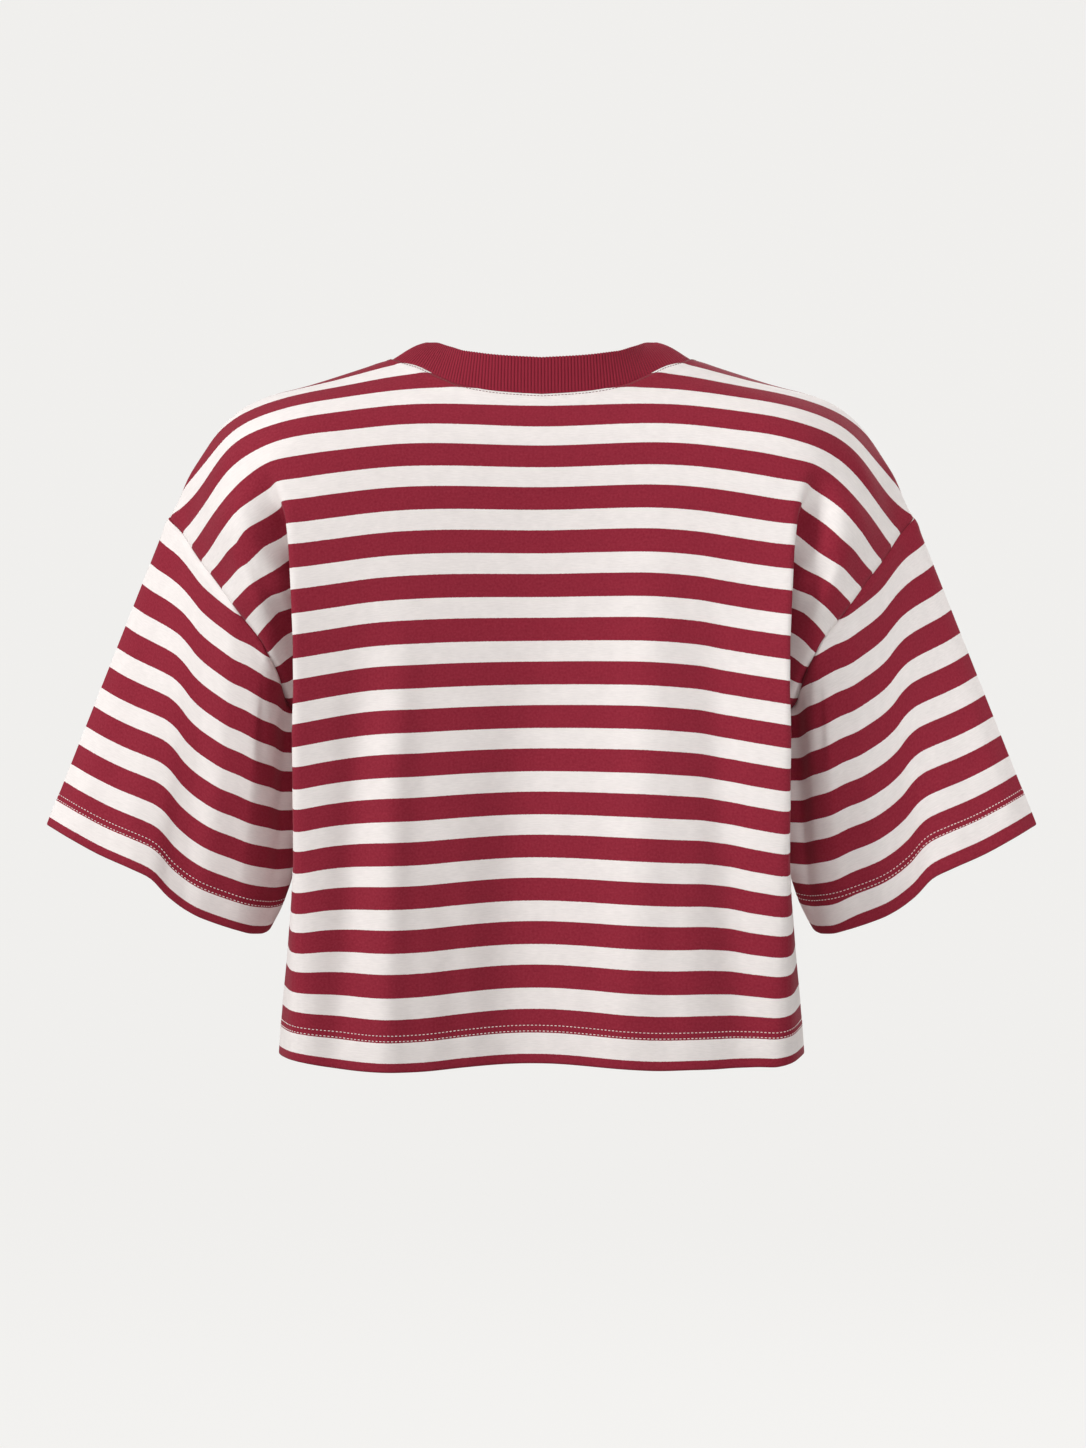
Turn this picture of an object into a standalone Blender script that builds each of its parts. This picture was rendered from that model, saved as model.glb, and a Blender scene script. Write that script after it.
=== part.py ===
"""A cropped, boxy T-shirt with dropped shoulders, hollow and in its worn shape.

The shirt is cut from five pieces: a back, a front, two wide sleeves and a ribbed
neckband. Each one is a thin wall of heavy jersey in an object of its own.

A body panel is known twice. Flat, as it is cut, a point has a distance from the
centre line ("along") and a height above the hem. Worn, guide lines run up the
panel: the spine, the blade, the flank, the crest of the fold beside the arm, the
valley inside that fold, and so on to the edge that is sewn. Each guide line is a
short table, and the cloth is bent across them like a thin batten. A sleeve is a
tube of straight rulings from the armhole to its hem.

Frame: +X to the wearer's right, +Y to the wearer's front, +Z up, in metres. The
origin is at the base of the neck, level with the high points of the shoulders.
The tables are in millimetres: "out" is the distance from the middle plane,
"depth" the distance behind the side seams (or ahead of them, on the front) and
"rise" the height above the origin.
"""

import math

import bmesh
import bpy
import numpy as np

MM = 0.001

# Driving dimensions, in millimetres
CLOTH_THICKNESS = 1.6
SEAM_GAP = 0.3
UNDERARM_HEIGHT = 235
EVEN_HEIGHT = 300.0
NOMINAL_TOP = 470.0
BAND_WIDTH = 26.6
RIB_COUNT = 279
RIB_HEIGHT = 0.35
EDGE_EASE = 8

# Softening: how far the cloth's roundness reaches at the hem and inside the folds
SOFT_REACH = (("height", "reach"),
              (0, 15), (150, 12), (235, 8), (330, 6), (420, 8), (450, 12), (540, 12))

# Share of the fold's crispness at each height: 1 is a crease, 0 is smooth cloth
FOLD_CRISPNESS = (("height", "share"),
                  (0, 1), (405, 1), (425, 0.75), (445, 0), (540, 0))

GUIDE_COLUMNS = ("height", "along", "out", "depth", "rise")

BACK_GUIDES = {
    "spine": (GUIDE_COLUMNS,
        (0, 0, 0, 88, -496.5), (100, 0, 0, 89, -395.2), (200, 0, 0, 91, -295.5),
        (290, 0, 0, 92, -205.3), (350, 0, 0, 93, -144.9), (396, 0, 0, 94, -99.1),
        (426, 0, 0, 91, -70), (456, 0, 0, 82, -41.8), (467, 0, 0, 77, -31.7),
        (490, 0, 0, 64, -12.5), (524, 0, 0, 42, 13)),
    "blade": (GUIDE_COLUMNS,
        (0, 98, 97, 104, -501.3), (36, 98, 97, 104, -466), (80, 98, 97, 103.5, -420.8),
        (140, 98, 97.5, 102, -360.7), (200, 98, 97.5, 100, -299.8),
        (260, 98, 97.5, 98, -238.9), (320, 98, 98, 97, -177.1), (380, 98, 98, 95, -115.2),
        (410, 98, 98, 92, -84.5), (440, 98, 98, 85, -55), (456, 98, 98.5, 76.5, -40.5),
        (471, 98, 98.5, 66, -28.6), (486, 98, 99, 54.5, -18.2), (501, 98, 99, 42, -8.2),
        (515, 98, 99.5, 30, -2.8), (524, 98, 99.5, 21.5, -2.1), (540, 98, 99.5, 6, -5)),
    "flank": (GUIDE_COLUMNS,
        (0, 141, 139, 99, -499.4), (36, 141, 139, 99, -464.2), (80, 141, 139, 98.5, -419.9),
        (140, 141, 139, 98, -361.8), (200, 141, 139, 97.5, -302.9),
        (260, 141, 139, 97, -242.8), (320, 141, 139, 96, -181.6), (380, 141, 139.5, 94, -119.5),
        (410, 141, 139.5, 91, -88.4), (440, 141, 140, 84, -59.2), (456, 141, 140.5, 75.5, -45.2),
        (471, 141, 141, 64.5, -34.2), (486, 141, 141, 51.5, -25.5), (501, 141, 141.5, 37.5, -18.9),
        (512, 141, 141.5, 27, -16.1), (524, 141, 141.5, 15.5, -17), (540, 141, 141.5, 0, -21)),
    "crest": (GUIDE_COLUMNS,
        (0, 174, 171.5, 96, -494.7), (36, 174, 171.5, 97, -461.7), (80, 175, 172.5, 97, -421.2),
        (140, 176, 173, 97.5, -366.3), (200, 177, 174, 98, -308.1),
        (260, 177, 174.5, 100, -248.2), (300, 177, 174.5, 100, -206.8),
        (330, 178, 175.5, 98, -175.6), (360, 180, 177.5, 95, -144.2), (390, 183, 180.5, 92, -113.7),
        (406, 186, 184, 88, -98), (419, 189.5, 186.5, 84, -85.8), (434, 193, 190, 79, -73),
        (449, 194, 190.5, 72, -60.7), (464, 194, 190.5, 61, -48.5), (479, 194, 190.5, 48, -39.5),
        (494, 194, 191, 33, -32.2), (503, 194, 191.5, 24, -30.1), (524, 194, 191.5, 3, -32.1)),
    "valley": (GUIDE_COLUMNS,
        (0, 222, 184.5, 50, -493.5), (43, 222, 181.5, 50, -451.5), (63, 222, 179.5, 50, -432),
        (97, 224, 176, 48, -399.5), (125, 227, 172, 46, -373), (150, 231, 168, 44, -349),
        (200, 238, 163, 38, -303), (235, 243, 160, 32, -271), (247, 243, 158, 31, -260.5),
        (258, 244, 157, 31, -252), (269, 245, 156.5, 31, -243.5),
        (299, 237, 157, 38, -213), (329, 223, 160, 49, -182), (359, 210, 164, 62, -151),
        (389, 200, 176, 73, -120.5), (404, 199, 184, 78, -105), (419, 201, 192, 79, -90.5),
        (434, 214, 208.5, 70, -84.5), (449, 215, 210.5, 62, -70), (464, 215, 211, 52, -57.5),
        (479, 215, 212, 39, -48), (494, 215, 213, 25, -40.6), (505, 215, 214, 14, -38),
        (524, 215, 214, -5, -42)),
    "shoulder": (GUIDE_COLUMNS,
        (0, 248, 184, 22, -494), (60, 248, 178, 22, -436), (120, 250, 169.5, 20, -378),
        (200, 257, 160.5, 16, -302), (235, 262, 158.3, 12, -269), (247, 262, 161, 23, -261),
        (258, 261.5, 165, 29, -254.5), (269, 261, 170, 33, -248),
        (299, 260, 174.5, 50, -222), (329, 259, 185, 69, -195.5), (359, 254, 197, 83, -170.5),
        (389, 238, 205.5, 84, -139), (404, 230, 208, 82, -121), (419, 226, 213, 76, -106.5),
        (434, 246, 228.5, 55, -104.5), (449, 250, 232.5, 47, -92), (464, 250, 234, 35, -80),
        (479, 250, 236.5, 21, -69), (494, 250, 236.5, 7, -61.7), (524, 250, 236, -20, -67)),
    "arm": (GUIDE_COLUMNS,
        (0, 262, 183.5, 8, -494), (120, 262, 169, 7, -378), (235, 265, 158, 5, -268.5),
        (240, 265, 160, 12, -266), (247, 265, 162.5, 18, -262), (258, 265, 168.5, 25.5, -255.5),
        (269, 265.5, 174.5, 31.5, -248.8), (299, 267, 179.5, 52, -225.3),
        (329, 268, 190.5, 69, -201.5), (359, 267, 205.5, 76, -177.5),
        (389, 261, 218, 68, -150.5), (404, 260, 225, 62, -139), (419, 264, 233, 51, -128.5),
        (434, 273, 241, 35, -119), (449, 280, 247.5, 21, -110), (464, 283, 252, 12, -98),
        (479, 283, 254.5, 2, -90), (500, 283, 253, -17, -86), (524, 283, 251, -38, -96)),
    "edge": (GUIDE_COLUMNS,
        (0, 271, 183, 0, -494), (60, 271, 177, 0, -436), (120, 270, 168, 0, -378),
        (180, 269, 161, 0, -321), (235, 268, 158, 0, -268), (240, 268, 160, 8, -265.8),
        (247, 268.5, 164, 15.5, -261.5), (258, 269, 171.5, 23, -255.3), (269, 270, 178.7, 28, -249.3),
        (299, 272.5, 184, 51, -228), (329, 276.5, 194.7, 66, -206.5),
        (359, 281, 212.2, 65, -184.2), (389, 286.5, 229.4, 50, -161.6),
        (419, 292.5, 244.7, 30, -142.6), (440, 299, 255, 14, -127.5),
        (458, 308, 266, 0, -114), (480, 308, 263, -20, -109), (524, 308, 255, -55, -122)),
}

FRONT_GUIDES = {
    "spine": (GUIDE_COLUMNS,
        (0, 0, 0, 94, -497), (120, 0, 0, 95, -377), (240, 0, 0, 95, -257),
        (310, 0, 0, 94, -187), (350, 0, 0, 91, -147.2), (380, 0, 0, 86, -117.6),
        (404, 0, 0, 79, -94.6), (450, 0, 0, 58, -53), (543, 0, 0, 0, 18)),
    "blade": (GUIDE_COLUMNS,
        (0, 98, 97, 103, -500), (120, 98, 97, 100, -380), (240, 98, 97, 96, -260),
        (320, 98, 97, 92, -180), (360, 98, 97, 87.5, -140.3), (400, 98, 97.5, 76, -102),
        (440, 98, 98, 57, -66.8), (480, 98, 98.5, 30.5, -37), (510, 98, 99, 5.5, -20.5),
        (524, 98, 99.5, -7, -14), (543, 98, 99.5, -25, -7)),
    "flank": (GUIDE_COLUMNS,
        (0, 141, 139, 98, -499), (120, 141, 139, 96, -380), (240, 141, 139, 92, -261),
        (320, 141, 139, 87, -181.5), (360, 141, 139, 81, -142), (400, 141, 139.5, 69, -104),
        (440, 141, 140, 50, -69), (480, 141, 141, 24.5, -40), (510, 141, 141.5, 0, -25.5),
        (534, 141, 141.5, -21, -18), (550, 141, 141.5, -36, -14)),
    "crest": (GUIDE_COLUMNS,
        (0, 174, 171.5, 92, -496), (120, 175, 172.5, 90, -383), (200, 177, 173.5, 88, -306),
        (260, 177, 174, 86, -246), (300, 177, 174, 84, -206), (330, 178, 174.5, 80.5, -176),
        (360, 179, 176, 75, -146), (390, 183, 179.5, 68, -118), (419, 189, 186, 57, -92),
        (449, 194, 190, 42, -70), (479, 194, 190.5, 19, -50), (503, 194, 191, -2, -38.5),
        (520, 194, 191.5, -18, -33), (545, 194, 191.5, -41, -30)),
    "valley": (GUIDE_COLUMNS,
        (0, 222, 184.5, 48, -493.5), (63, 222, 179.5, 47, -432), (125, 227, 172, 43, -373),
        (200, 238, 163, 35, -303), (235, 243, 160, 27, -271), (269, 246, 157.5, 26, -244),
        (299, 237, 158, 34, -213), (329, 223, 162, 44, -183), (359, 211, 168, 54, -154),
        (389, 205, 181, 57, -126), (419, 206, 196.5, 53, -100), (449, 215, 208, 38, -78),
        (479, 215, 211, 14, -58.5), (500, 215, 213, -5, -46.5), (514, 215, 214, -18, -41),
        (540, 215, 214, -42, -38)),
    "shoulder": (GUIDE_COLUMNS,
        (0, 248, 184, 21, -494), (60, 248, 178, 21, -436), (120, 250, 169.5, 19, -378),
        (200, 257, 160.5, 14, -302), (235, 262, 158.3, 10, -269), (247, 262, 161, 19, -261),
        (258, 261.5, 165, 24, -254.5), (269, 261, 170, 27, -248),
        (299, 260, 174.5, 42, -222), (329, 259, 185, 56, -196), (359, 254, 196.5, 65, -171.5),
        (389, 242, 206, 62, -144), (419, 238, 217, 50, -118), (449, 250, 229, 27, -98),
        (479, 250, 236, 0, -73.5), (499, 250, 236.5, -14, -61.5), (530, 250, 236, -42, -56)),
    "arm": (GUIDE_COLUMNS,
        (0, 262, 183.5, 8, -494), (120, 262, 169, 7, -378), (235, 265, 158, 4, -268.5),
        (240, 265, 160, 10, -266), (247, 265, 162.5, 15.5, -262), (258, 265, 168.5, 21.5, -255.5),
        (269, 265.5, 174.5, 26, -248.8), (299, 267, 179.5, 42.5, -225.3),
        (329, 268, 190.5, 55, -201.5), (359, 267, 205.5, 58, -178),
        (389, 262, 218.5, 51, -152), (419, 264, 232.5, 37, -130), (449, 278, 246.5, 12, -110),
        (464, 283, 253, 0, -98), (480, 283, 255, -7, -88), (510, 283, 252, -32, -82)),
    "edge": (GUIDE_COLUMNS,
        (0, 271, 183, 0, -494), (60, 271, 177, 0, -436), (120, 270, 168, 0, -378),
        (180, 269, 161, 0, -321), (235, 268, 158, 0, -268), (240, 268, 160, 6.8, -265.8),
        (247, 268.5, 164, 13, -261.5), (258, 269, 171.5, 19, -255.3), (269, 270, 178.7, 23, -249.3),
        (299, 272.5, 184, 41.5, -228), (329, 276.5, 194.7, 53, -206.5),
        (359, 281, 212.2, 52, -184.2), (389, 286.5, 229.4, 40, -161.6),
        (419, 292.5, 244.7, 24, -142.6), (440, 299, 255, 11, -127.5),
        (458, 308, 266, 0, -114), (480, 308, 263, -20, -109), (524, 308, 255, -55, -122)),
}

# The cut top edge of each panel: the neck curve, then the shoulder seam
BACK_TOP = (("along", "height"),
            (0, 466.5), (29, 468.3), (57, 473.5), (71, 481), (85, 491), (98, 501.5),
            (108, 524), (168, 513), (206, 503), (255, 487), (292, 472), (308, 458))
FRONT_TOP = (("along", "height"),
             (0, 404), (30, 408), (60, 423), (76, 440), (88, 459), (100, 491),
             (108, 541), (168, 526), (206, 515), (255, 494), (292, 474), (308, 458))

# Sleeve rulings: where each leaves the armhole, as a height on the body's edge, and
# where it meets the hem. The last column bows the ruling sideways at its middle.
SLEEVE_RULINGS = (
    ("edge_height", "out", "depth", "rise", "bow"),
    (235, 194.5, 0, -409, -7), (247, 196, 5, -410.5, -6), (269, 199, 11, -411.3, -5),
    (299, 205, 19, -411, -3), (329, 216, 26, -408, 0), (359, 234.4, 28, -401.6, 0),
    (388, 251, 27, -393.7, 0), (402, 262.1, 33, -385, 0), (416, 275.4, 41, -371, 0),
    (428, 290, 38, -363.9, 0), (440, 313, 29, -354.3, 0), (450, 336, 19, -342.5, 0),
    (458, 353, 0, -334, 0))
FRONT_SLEEVE_DEPTH = 0.92

# Neckband: how far its free edge lies inward and above its seam, by the seam's "out"
BAND_LEAN_BACK = (("out", "inward", "rise"),
                  (0, 1.5, 25), (42, 4, 25), (66, 9.5, 23), (85, 15, 19.5),
                  (98, 19.5, 16), (109, 23, 12.5))
BAND_LEAN_FRONT = (("out", "inward", "rise"),
                   (0, 10, 23), (30, 11, 22.6), (60, 14, 21), (85, 18.5, 17.5),
                   (98, 21.5, 14), (109, 23, 12.5))

# The grid of each panel: its columns share out the cloth between two guide lines
PANEL_COLUMNS = (("from", "to", "shares"),
                 ("spine", "crest", (0, 0.11, 0.21, 0.31, 0.39, 0.455, 0.516, 0.5567,
                                     0.65, 0.75, 0.84, 0.92, 0.97)),
                 ("crest", "valley", (0.03, 0.15, 0.38, 0.65, 0.87, 1.0)),
                 ("valley", "shoulder", (0.2, 0.55, 1.0)),
                 ("shoulder", "arm", (1.0,)),
                 ("arm", "edge", (1.0,)))
NECK_COLUMNS = 7
ROW_HEIGHTS = (0, 30, 65, 100, 135, 170, 205, 235, 247, 259, 271, 283, 295, 307, 319,
               331, 343, 355, 367, 379, 391, 403, 414, 425, 436, 447, 458.5, 470)
SLEEVE_RINGS = (0, 0.06, 0.14, 0.25, 0.38, 0.52, 0.66, 0.8, 0.92, 1.0)

JERSEY_RED = (0.30, 0.021, 0.036, 1.0)
JERSEY_CREAM = (0.80, 0.75, 0.71, 1.0)


def batten(knots, values):
    """Bend a natural cubic spline through values at knots, for whole stacks at once.

    knots is (stack, n), values is (stack, n, k). Past its ends the batten runs on
    straight. The function that comes back takes one place for each of the stack.
    """
    step = np.diff(knots, axis=1)
    slope = np.diff(values, axis=1) / step[:, :, None]
    stack, count = knots.shape
    matrix = np.zeros((stack, count, count))
    right = np.zeros(values.shape)
    matrix[:, 0, 0] = 1.0
    matrix[:, -1, -1] = 1.0
    for row in range(1, count - 1):
        matrix[:, row, row - 1] = step[:, row - 1]
        matrix[:, row, row] = 2 * (step[:, row - 1] + step[:, row])
        matrix[:, row, row + 1] = step[:, row]
        right[:, row] = 6 * (slope[:, row] - slope[:, row - 1])
    bend = np.linalg.solve(matrix, right)

    def at(place):
        inside = np.clip(place, knots[:, 0], knots[:, -1])
        span = np.clip((knots[:, :-1] <= inside[:, None]).sum(axis=1) - 1, 0, count - 2)
        pick = np.arange(stack)
        width = step[pick, span][:, None]
        left = (inside - knots[pick, span])[:, None]
        low, high = bend[pick, span], bend[pick, span + 1]
        rate = slope[pick, span] - width * (2 * low + high) / 6
        value = values[pick, span] + left * (rate + left * (low / 2 + left * (high - low) / (6 * width)))
        run = rate + left * (low + left * (high - low) / (2 * width))
        return value + run * (place - inside)[:, None]

    return at


def read_table(rows, place):
    """Read the columns after the first at each place, on curves that never overshoot."""
    table = np.array([row for row in rows if not isinstance(row[0], str)], dtype=float)
    place = np.atleast_1d(np.asarray(place, dtype=float))
    knots, values = table[:, 0], table[:, 1:]
    step = np.diff(knots)[:, None]
    slope = np.diff(values, axis=0) / step
    tangent = np.vstack([slope[:1], np.zeros_like(slope[1:]), slope[-1:]])
    same_way = slope[:-1] * slope[1:] > 0
    near, far = step[:-1], step[1:]
    before = np.where(same_way, slope[:-1], 1.0)
    after = np.where(same_way, slope[1:], 1.0)
    blend = 3 * (near + far) / ((2 * far + near) / before + (far + 2 * near) / after)
    tangent[1:-1] = np.where(same_way, blend, 0.0)
    inside = np.clip(place, knots[0], knots[-1])
    span = np.clip(np.searchsorted(knots, inside, side="right") - 1, 0, len(knots) - 2)
    width = step[span]
    part = (inside - knots[span])[:, None] / width
    value = values[span] * (1 + 2 * part) * (1 - part) ** 2
    value += values[span + 1] * part ** 2 * (3 - 2 * part)
    value += width * tangent[span] * part * (1 - part) ** 2
    value -= width * tangent[span + 1] * part ** 2 * (1 - part)
    beyond = (place - inside)[:, None]
    return value + beyond * np.where(beyond < 0, tangent[0], tangent[-1])


def read_straight(rows, place):
    """Read a two-column table with straight runs between its rows."""
    table = np.array([row for row in rows if not isinstance(row[0], str)], dtype=float)
    return np.interp(place, table[:, 0], table[:, 1])


def bent_cloth(guides, along, height):
    """Place flat points of a panel on the guide lines, before softening."""
    lines = {name: read_table(rows, height) for name, rows in guides.items()}
    inner = [lines[name] for name in ("spine", "blade", "flank", "crest")]
    outer = [lines[name] for name in ("crest", "valley", "shoulder", "arm", "edge")]
    mirror = [line * (-1, -1, 1, 1) for line in (inner[2], inner[1])]

    def across(group):
        stack = np.stack(group, axis=1)
        return batten(stack[:, :, 0], stack[:, :, 1:])(along)

    folded = np.where((along <= lines["crest"][:, 0])[:, None],
                      across(mirror + inner), across(outer))
    smooth = across(mirror + inner + outer[1:])
    crisp = read_straight(FOLD_CRISPNESS, height)[:, None]
    return crisp * folded + (1 - crisp) * smooth


def worn_cloth(guides, along, height):
    """Place flat points of a panel in space, as (out, depth, rise) in millimetres."""
    edge = read_table(guides["edge"], height)[:, 0]
    reach = read_straight(SOFT_REACH, height)
    reach = np.minimum(reach, np.maximum(edge - along, 0))
    place = np.zeros((len(along), 3))
    for offset, weight in ((-1, 0.12), (-0.5, 0.23), (0, 0.3), (0.5, 0.23), (1, 0.12)):
        place += weight * bent_cloth(guides, along + offset * reach, height)
    return place


def panel_grid(guides, top_edge):
    """Give the flat (along, height) of each grid point of half a panel."""
    grid_along, grid_height = [], []
    rows = np.array(ROW_HEIGHTS, dtype=float)
    for first, second, shares in PANEL_COLUMNS[1:]:
        for share in shares:
            near, far = (read_table(guides[name], 500.0)[0, 0] for name in (first, second))
            top = read_straight(top_edge, (1 - share) * near + share * far)
            stretch = (top - EVEN_HEIGHT) / (NOMINAL_TOP - EVEN_HEIGHT)
            height = np.where(rows > EVEN_HEIGHT, EVEN_HEIGHT + (rows - EVEN_HEIGHT) * stretch, rows)
            near, far = (read_table(guides[name], height)[:, 0] for name in (first, second))
            grid_along.append((1 - share) * near + share * far)
            grid_height.append(height)
    return np.array(grid_along).T, np.array(grid_height).T


def place_half_panel(guides, top_edge):
    """Return the flat grid and the worn grid of half a panel."""
    along, height = panel_grid(guides, top_edge)
    place = worn_cloth(guides, along.ravel(), height.ravel()).reshape(along.shape + (3,))
    return along, height, place


def settle_on_seam(front, front_height, back):
    """Bring the front's shoulder edge onto the back's, easing out down the panel."""
    shift = back[-1] - front[-1]
    shift[:NECK_COLUMNS] = shift[NECK_COLUMNS]
    easing = np.interp(np.arange(shift.shape[0]), (NECK_COLUMNS - 3, NECK_COLUMNS), (0, 1))
    below = front_height[-1] - front_height
    fade = np.clip(1 - below / 80.0, 0, 1)
    fade = fade * fade * (3 - 2 * fade)
    return front + shift[None] * easing[None, :, None] * fade[:, :, None]


def both_halves(half, ahead):
    """Mirror a half panel and give the whole grid in garment axes."""
    right = half * (1, 1 if ahead else -1, 1)
    left = (right * (-1, 1, 1))[:, :0:-1]
    return np.concatenate([left, right], axis=1)


def sleeve_grid(back_edge, front_edge, edge_height, side):
    """Rule a sleeve from the closed armhole loop to its hem loop, ring by ring."""
    first = int(np.searchsorted(edge_height, UNDERARM_HEIGHT - 0.5))
    down = np.arange(len(edge_height) - 1, first - 1, -1)
    up = np.arange(first + 1, len(edge_height) - 1)
    loop = np.concatenate([back_edge[down], front_edge[up]])
    ruling = read_table(SLEEVE_RULINGS, edge_height[np.concatenate([down, up])])
    ahead = np.concatenate([np.full(len(down), -1.0), np.full(len(up), FRONT_SLEEVE_DEPTH)])
    hem = np.stack([side * ruling[:, 0], ahead * ruling[:, 1], ruling[:, 2]], axis=1)
    rings = []
    for share in SLEEVE_RINGS:
        ring = (1 - share) * loop + share * hem
        ring[:, 0] += side * ruling[:, 3] * math.sin(math.pi * share ** 2)
        rings.append(ring)
    return np.array(rings)


def unit(vectors):
    """Scale vectors to length one."""
    return vectors / np.maximum(np.linalg.norm(vectors, axis=-1, keepdims=True), 1e-12)


def cell_normals(grid, closed):
    """Sum the cell normals of a grid at each of its points, outward side unsigned."""
    if closed:
        grid = np.concatenate([grid, grid[:, :1]], axis=1)
    cross = np.cross(grid[1:, 1:] - grid[:-1, :-1], grid[1:, :-1] - grid[:-1, 1:])
    total = np.zeros_like(grid)
    for row in (0, 1):
        for column in (0, 1):
            total[row:row + cross.shape[0], column:column + cross.shape[1]] += cross
    if closed:
        total[:, 0] += total[:, -1]
        total = total[:, :-1]
    return total


def share_normals(normals, grids):
    """Make pieces that meet at a point lean the same way there, midway between them."""
    normals = {name: unit(vectors) for name, vectors in normals.items()}
    meeting = {}
    for name, grid in grids.items():
        keys = np.round(grid.reshape(-1, 3) * 20).astype(int)
        for index, key in enumerate(map(tuple, keys)):
            meeting.setdefault(key, []).append((name, index))
    for places in meeting.values():
        if len(places) > 1:
            sums = {True: np.zeros(3), False: np.zeros(3)}
            for name, index in places:
                sums[name.startswith("sleeve")] += normals[name].reshape(-1, 3)[index]
            midway = unit(unit(sums[True]) + unit(sums[False]))
            for name, index in places:
                normals[name].reshape(-1, 3)[index] = midway
    return normals


def seam_steps(outer, inner, edge, beside, closed=False):
    """Find the small steps that part a wall from its neighbour along one seam."""
    line = (outer[edge] + inner[edge]) / 2
    if closed:
        tangent = np.roll(line, -1, axis=0) - np.roll(line, 1, axis=0)
    else:
        tangent = np.gradient(line, axis=0)
    step = unit(np.cross(unit(tangent), unit(outer[edge] - inner[edge])))
    own_side = (outer[beside] + inner[beside]) / 2 - line
    return step * np.sign((step * own_side).sum(axis=1))[:, None] * SEAM_GAP / 2


def part_seams(outer, inner, seams):
    """Draw every sewn edge of a wall back by half the seam gap."""
    steps = [(edge, seam_steps(outer, inner, edge, beside, closed))
             for edge, beside, closed in seams]
    outer, inner = outer.copy(), inner.copy()
    for edge, step in steps:
        outer[edge] += step
        inner[edge] += step
    return outer, inner


def panel_seams(shape):
    """List the seams of a panel: neck, shoulders, sides and armholes."""
    rows, columns = shape[:2]
    middle, under = columns // 2, ROW_HEIGHTS.index(UNDERARM_HEIGHT)
    spans = (slice(0, middle - NECK_COLUMNS + 1), slice(middle + NECK_COLUMNS, columns),
             slice(middle - NECK_COLUMNS, middle + NECK_COLUMNS + 1))
    seams = [((rows - 1, span), (rows - 2, span), False) for span in spans]
    for edge, beside in ((0, 1), (columns - 1, columns - 2)):
        for span in (slice(0, under + 1), slice(under, rows)):
            seams.append(((span, edge), (span, beside), False))
    return seams


def wall_mesh(name, outer, inner, closed):
    """Skin a wall between two grids that face each other and close its rims."""
    rows, columns = outer.shape[:2]
    points = np.concatenate([outer.reshape(-1, 3), inner.reshape(-1, 3)]) * MM
    second = rows * columns

    def at(row, column, face):
        return row * columns + column % columns + face * second

    faces = []
    last = columns if closed else columns - 1
    for row in range(rows - 1):
        for column in range(last):
            ring = (at(row, column, 0), at(row, column + 1, 0),
                    at(row + 1, column + 1, 0), at(row + 1, column, 0))
            faces.append(ring)
            faces.append(tuple(index + second for index in reversed(ring)))
    for column in range(last):
        faces.append((at(0, column + 1, 0), at(0, column, 0), at(0, column, 1), at(0, column + 1, 1)))
        faces.append((at(rows - 1, column, 0), at(rows - 1, column + 1, 0),
                      at(rows - 1, column + 1, 1), at(rows - 1, column, 1)))
    if not closed:
        for row in range(rows - 1):
            faces.append((at(row, 0, 0), at(row + 1, 0, 0), at(row + 1, 0, 1), at(row, 0, 1)))
            faces.append((at(row + 1, columns - 1, 0), at(row, columns - 1, 0),
                          at(row, columns - 1, 1), at(row + 1, columns - 1, 1)))
    return finish_mesh(name, points, faces)


def finish_mesh(name, points, faces):
    """Make a mesh of flat triangles with its faces turned outward."""
    mesh = bpy.data.meshes.new(name)
    shape = bmesh.new()
    corners = [shape.verts.new(tuple(point)) for point in points]
    for face in faces:
        shape.faces.new([corners[index] for index in face])
    bmesh.ops.triangulate(shape, faces=shape.faces)
    bmesh.ops.recalc_face_normals(shape, faces=shape.faces)
    shape.to_mesh(mesh)
    shape.free()
    return mesh


def smooth_ring(vectors, reach):
    """Average vectors round a closed ring over reach places each way."""
    total = sum(np.roll(vectors, step, axis=0) for step in range(-reach, reach + 1))
    return total / (2 * reach + 1)


def band_directions(foot):
    """Find where the neckband stands from each point of its seam, and its outward face."""
    behind = (foot[:, 1] < foot[np.abs(foot[:, 0]).argmax(), 1])[:, None]
    out = np.abs(foot[:, 0])
    lean = np.where(behind, read_table(BAND_LEAN_BACK, out), read_table(BAND_LEAN_FRONT, out))
    tangent = unit(smooth_ring(np.roll(foot, -1, axis=0) - np.roll(foot, 1, axis=0), 16))
    inward = unit(np.cross(tangent, (0.0, 0.0, 1.0)))
    inward *= np.sign(((foot.mean(axis=0) - foot) * inward).sum(axis=1))[:, None]
    slant = inward * lean[:, :1] + np.array((0.0, 0.0, 1.0)) * lean[:, 1:]
    slant = unit(smooth_ring(slant, 18)) * BAND_WIDTH
    slant = unit(smooth_ring(foot + slant, EDGE_EASE) - foot) * BAND_WIDTH
    face = unit(np.cross(tangent, slant))
    face *= -np.sign((face * inward).sum(axis=1))[:, None]
    return slant, face


def ring_lengths(points):
    """Give the distance run at each point of a closed line, and last its whole length."""
    closed = np.vstack([points, points[:1]])
    return np.concatenate([[0], np.cumsum(np.linalg.norm(np.diff(closed, axis=0), axis=1))])


def spread_round(points, values, count):
    """Read values given at the points of a closed line at count even places round it."""
    length = ring_lengths(points)
    place = np.arange(count) * length[-1] / count
    ring = np.vstack([values, values[:1]])
    return np.stack([np.interp(place, length, ring[:, axis]) for axis in range(3)], axis=1)


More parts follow.
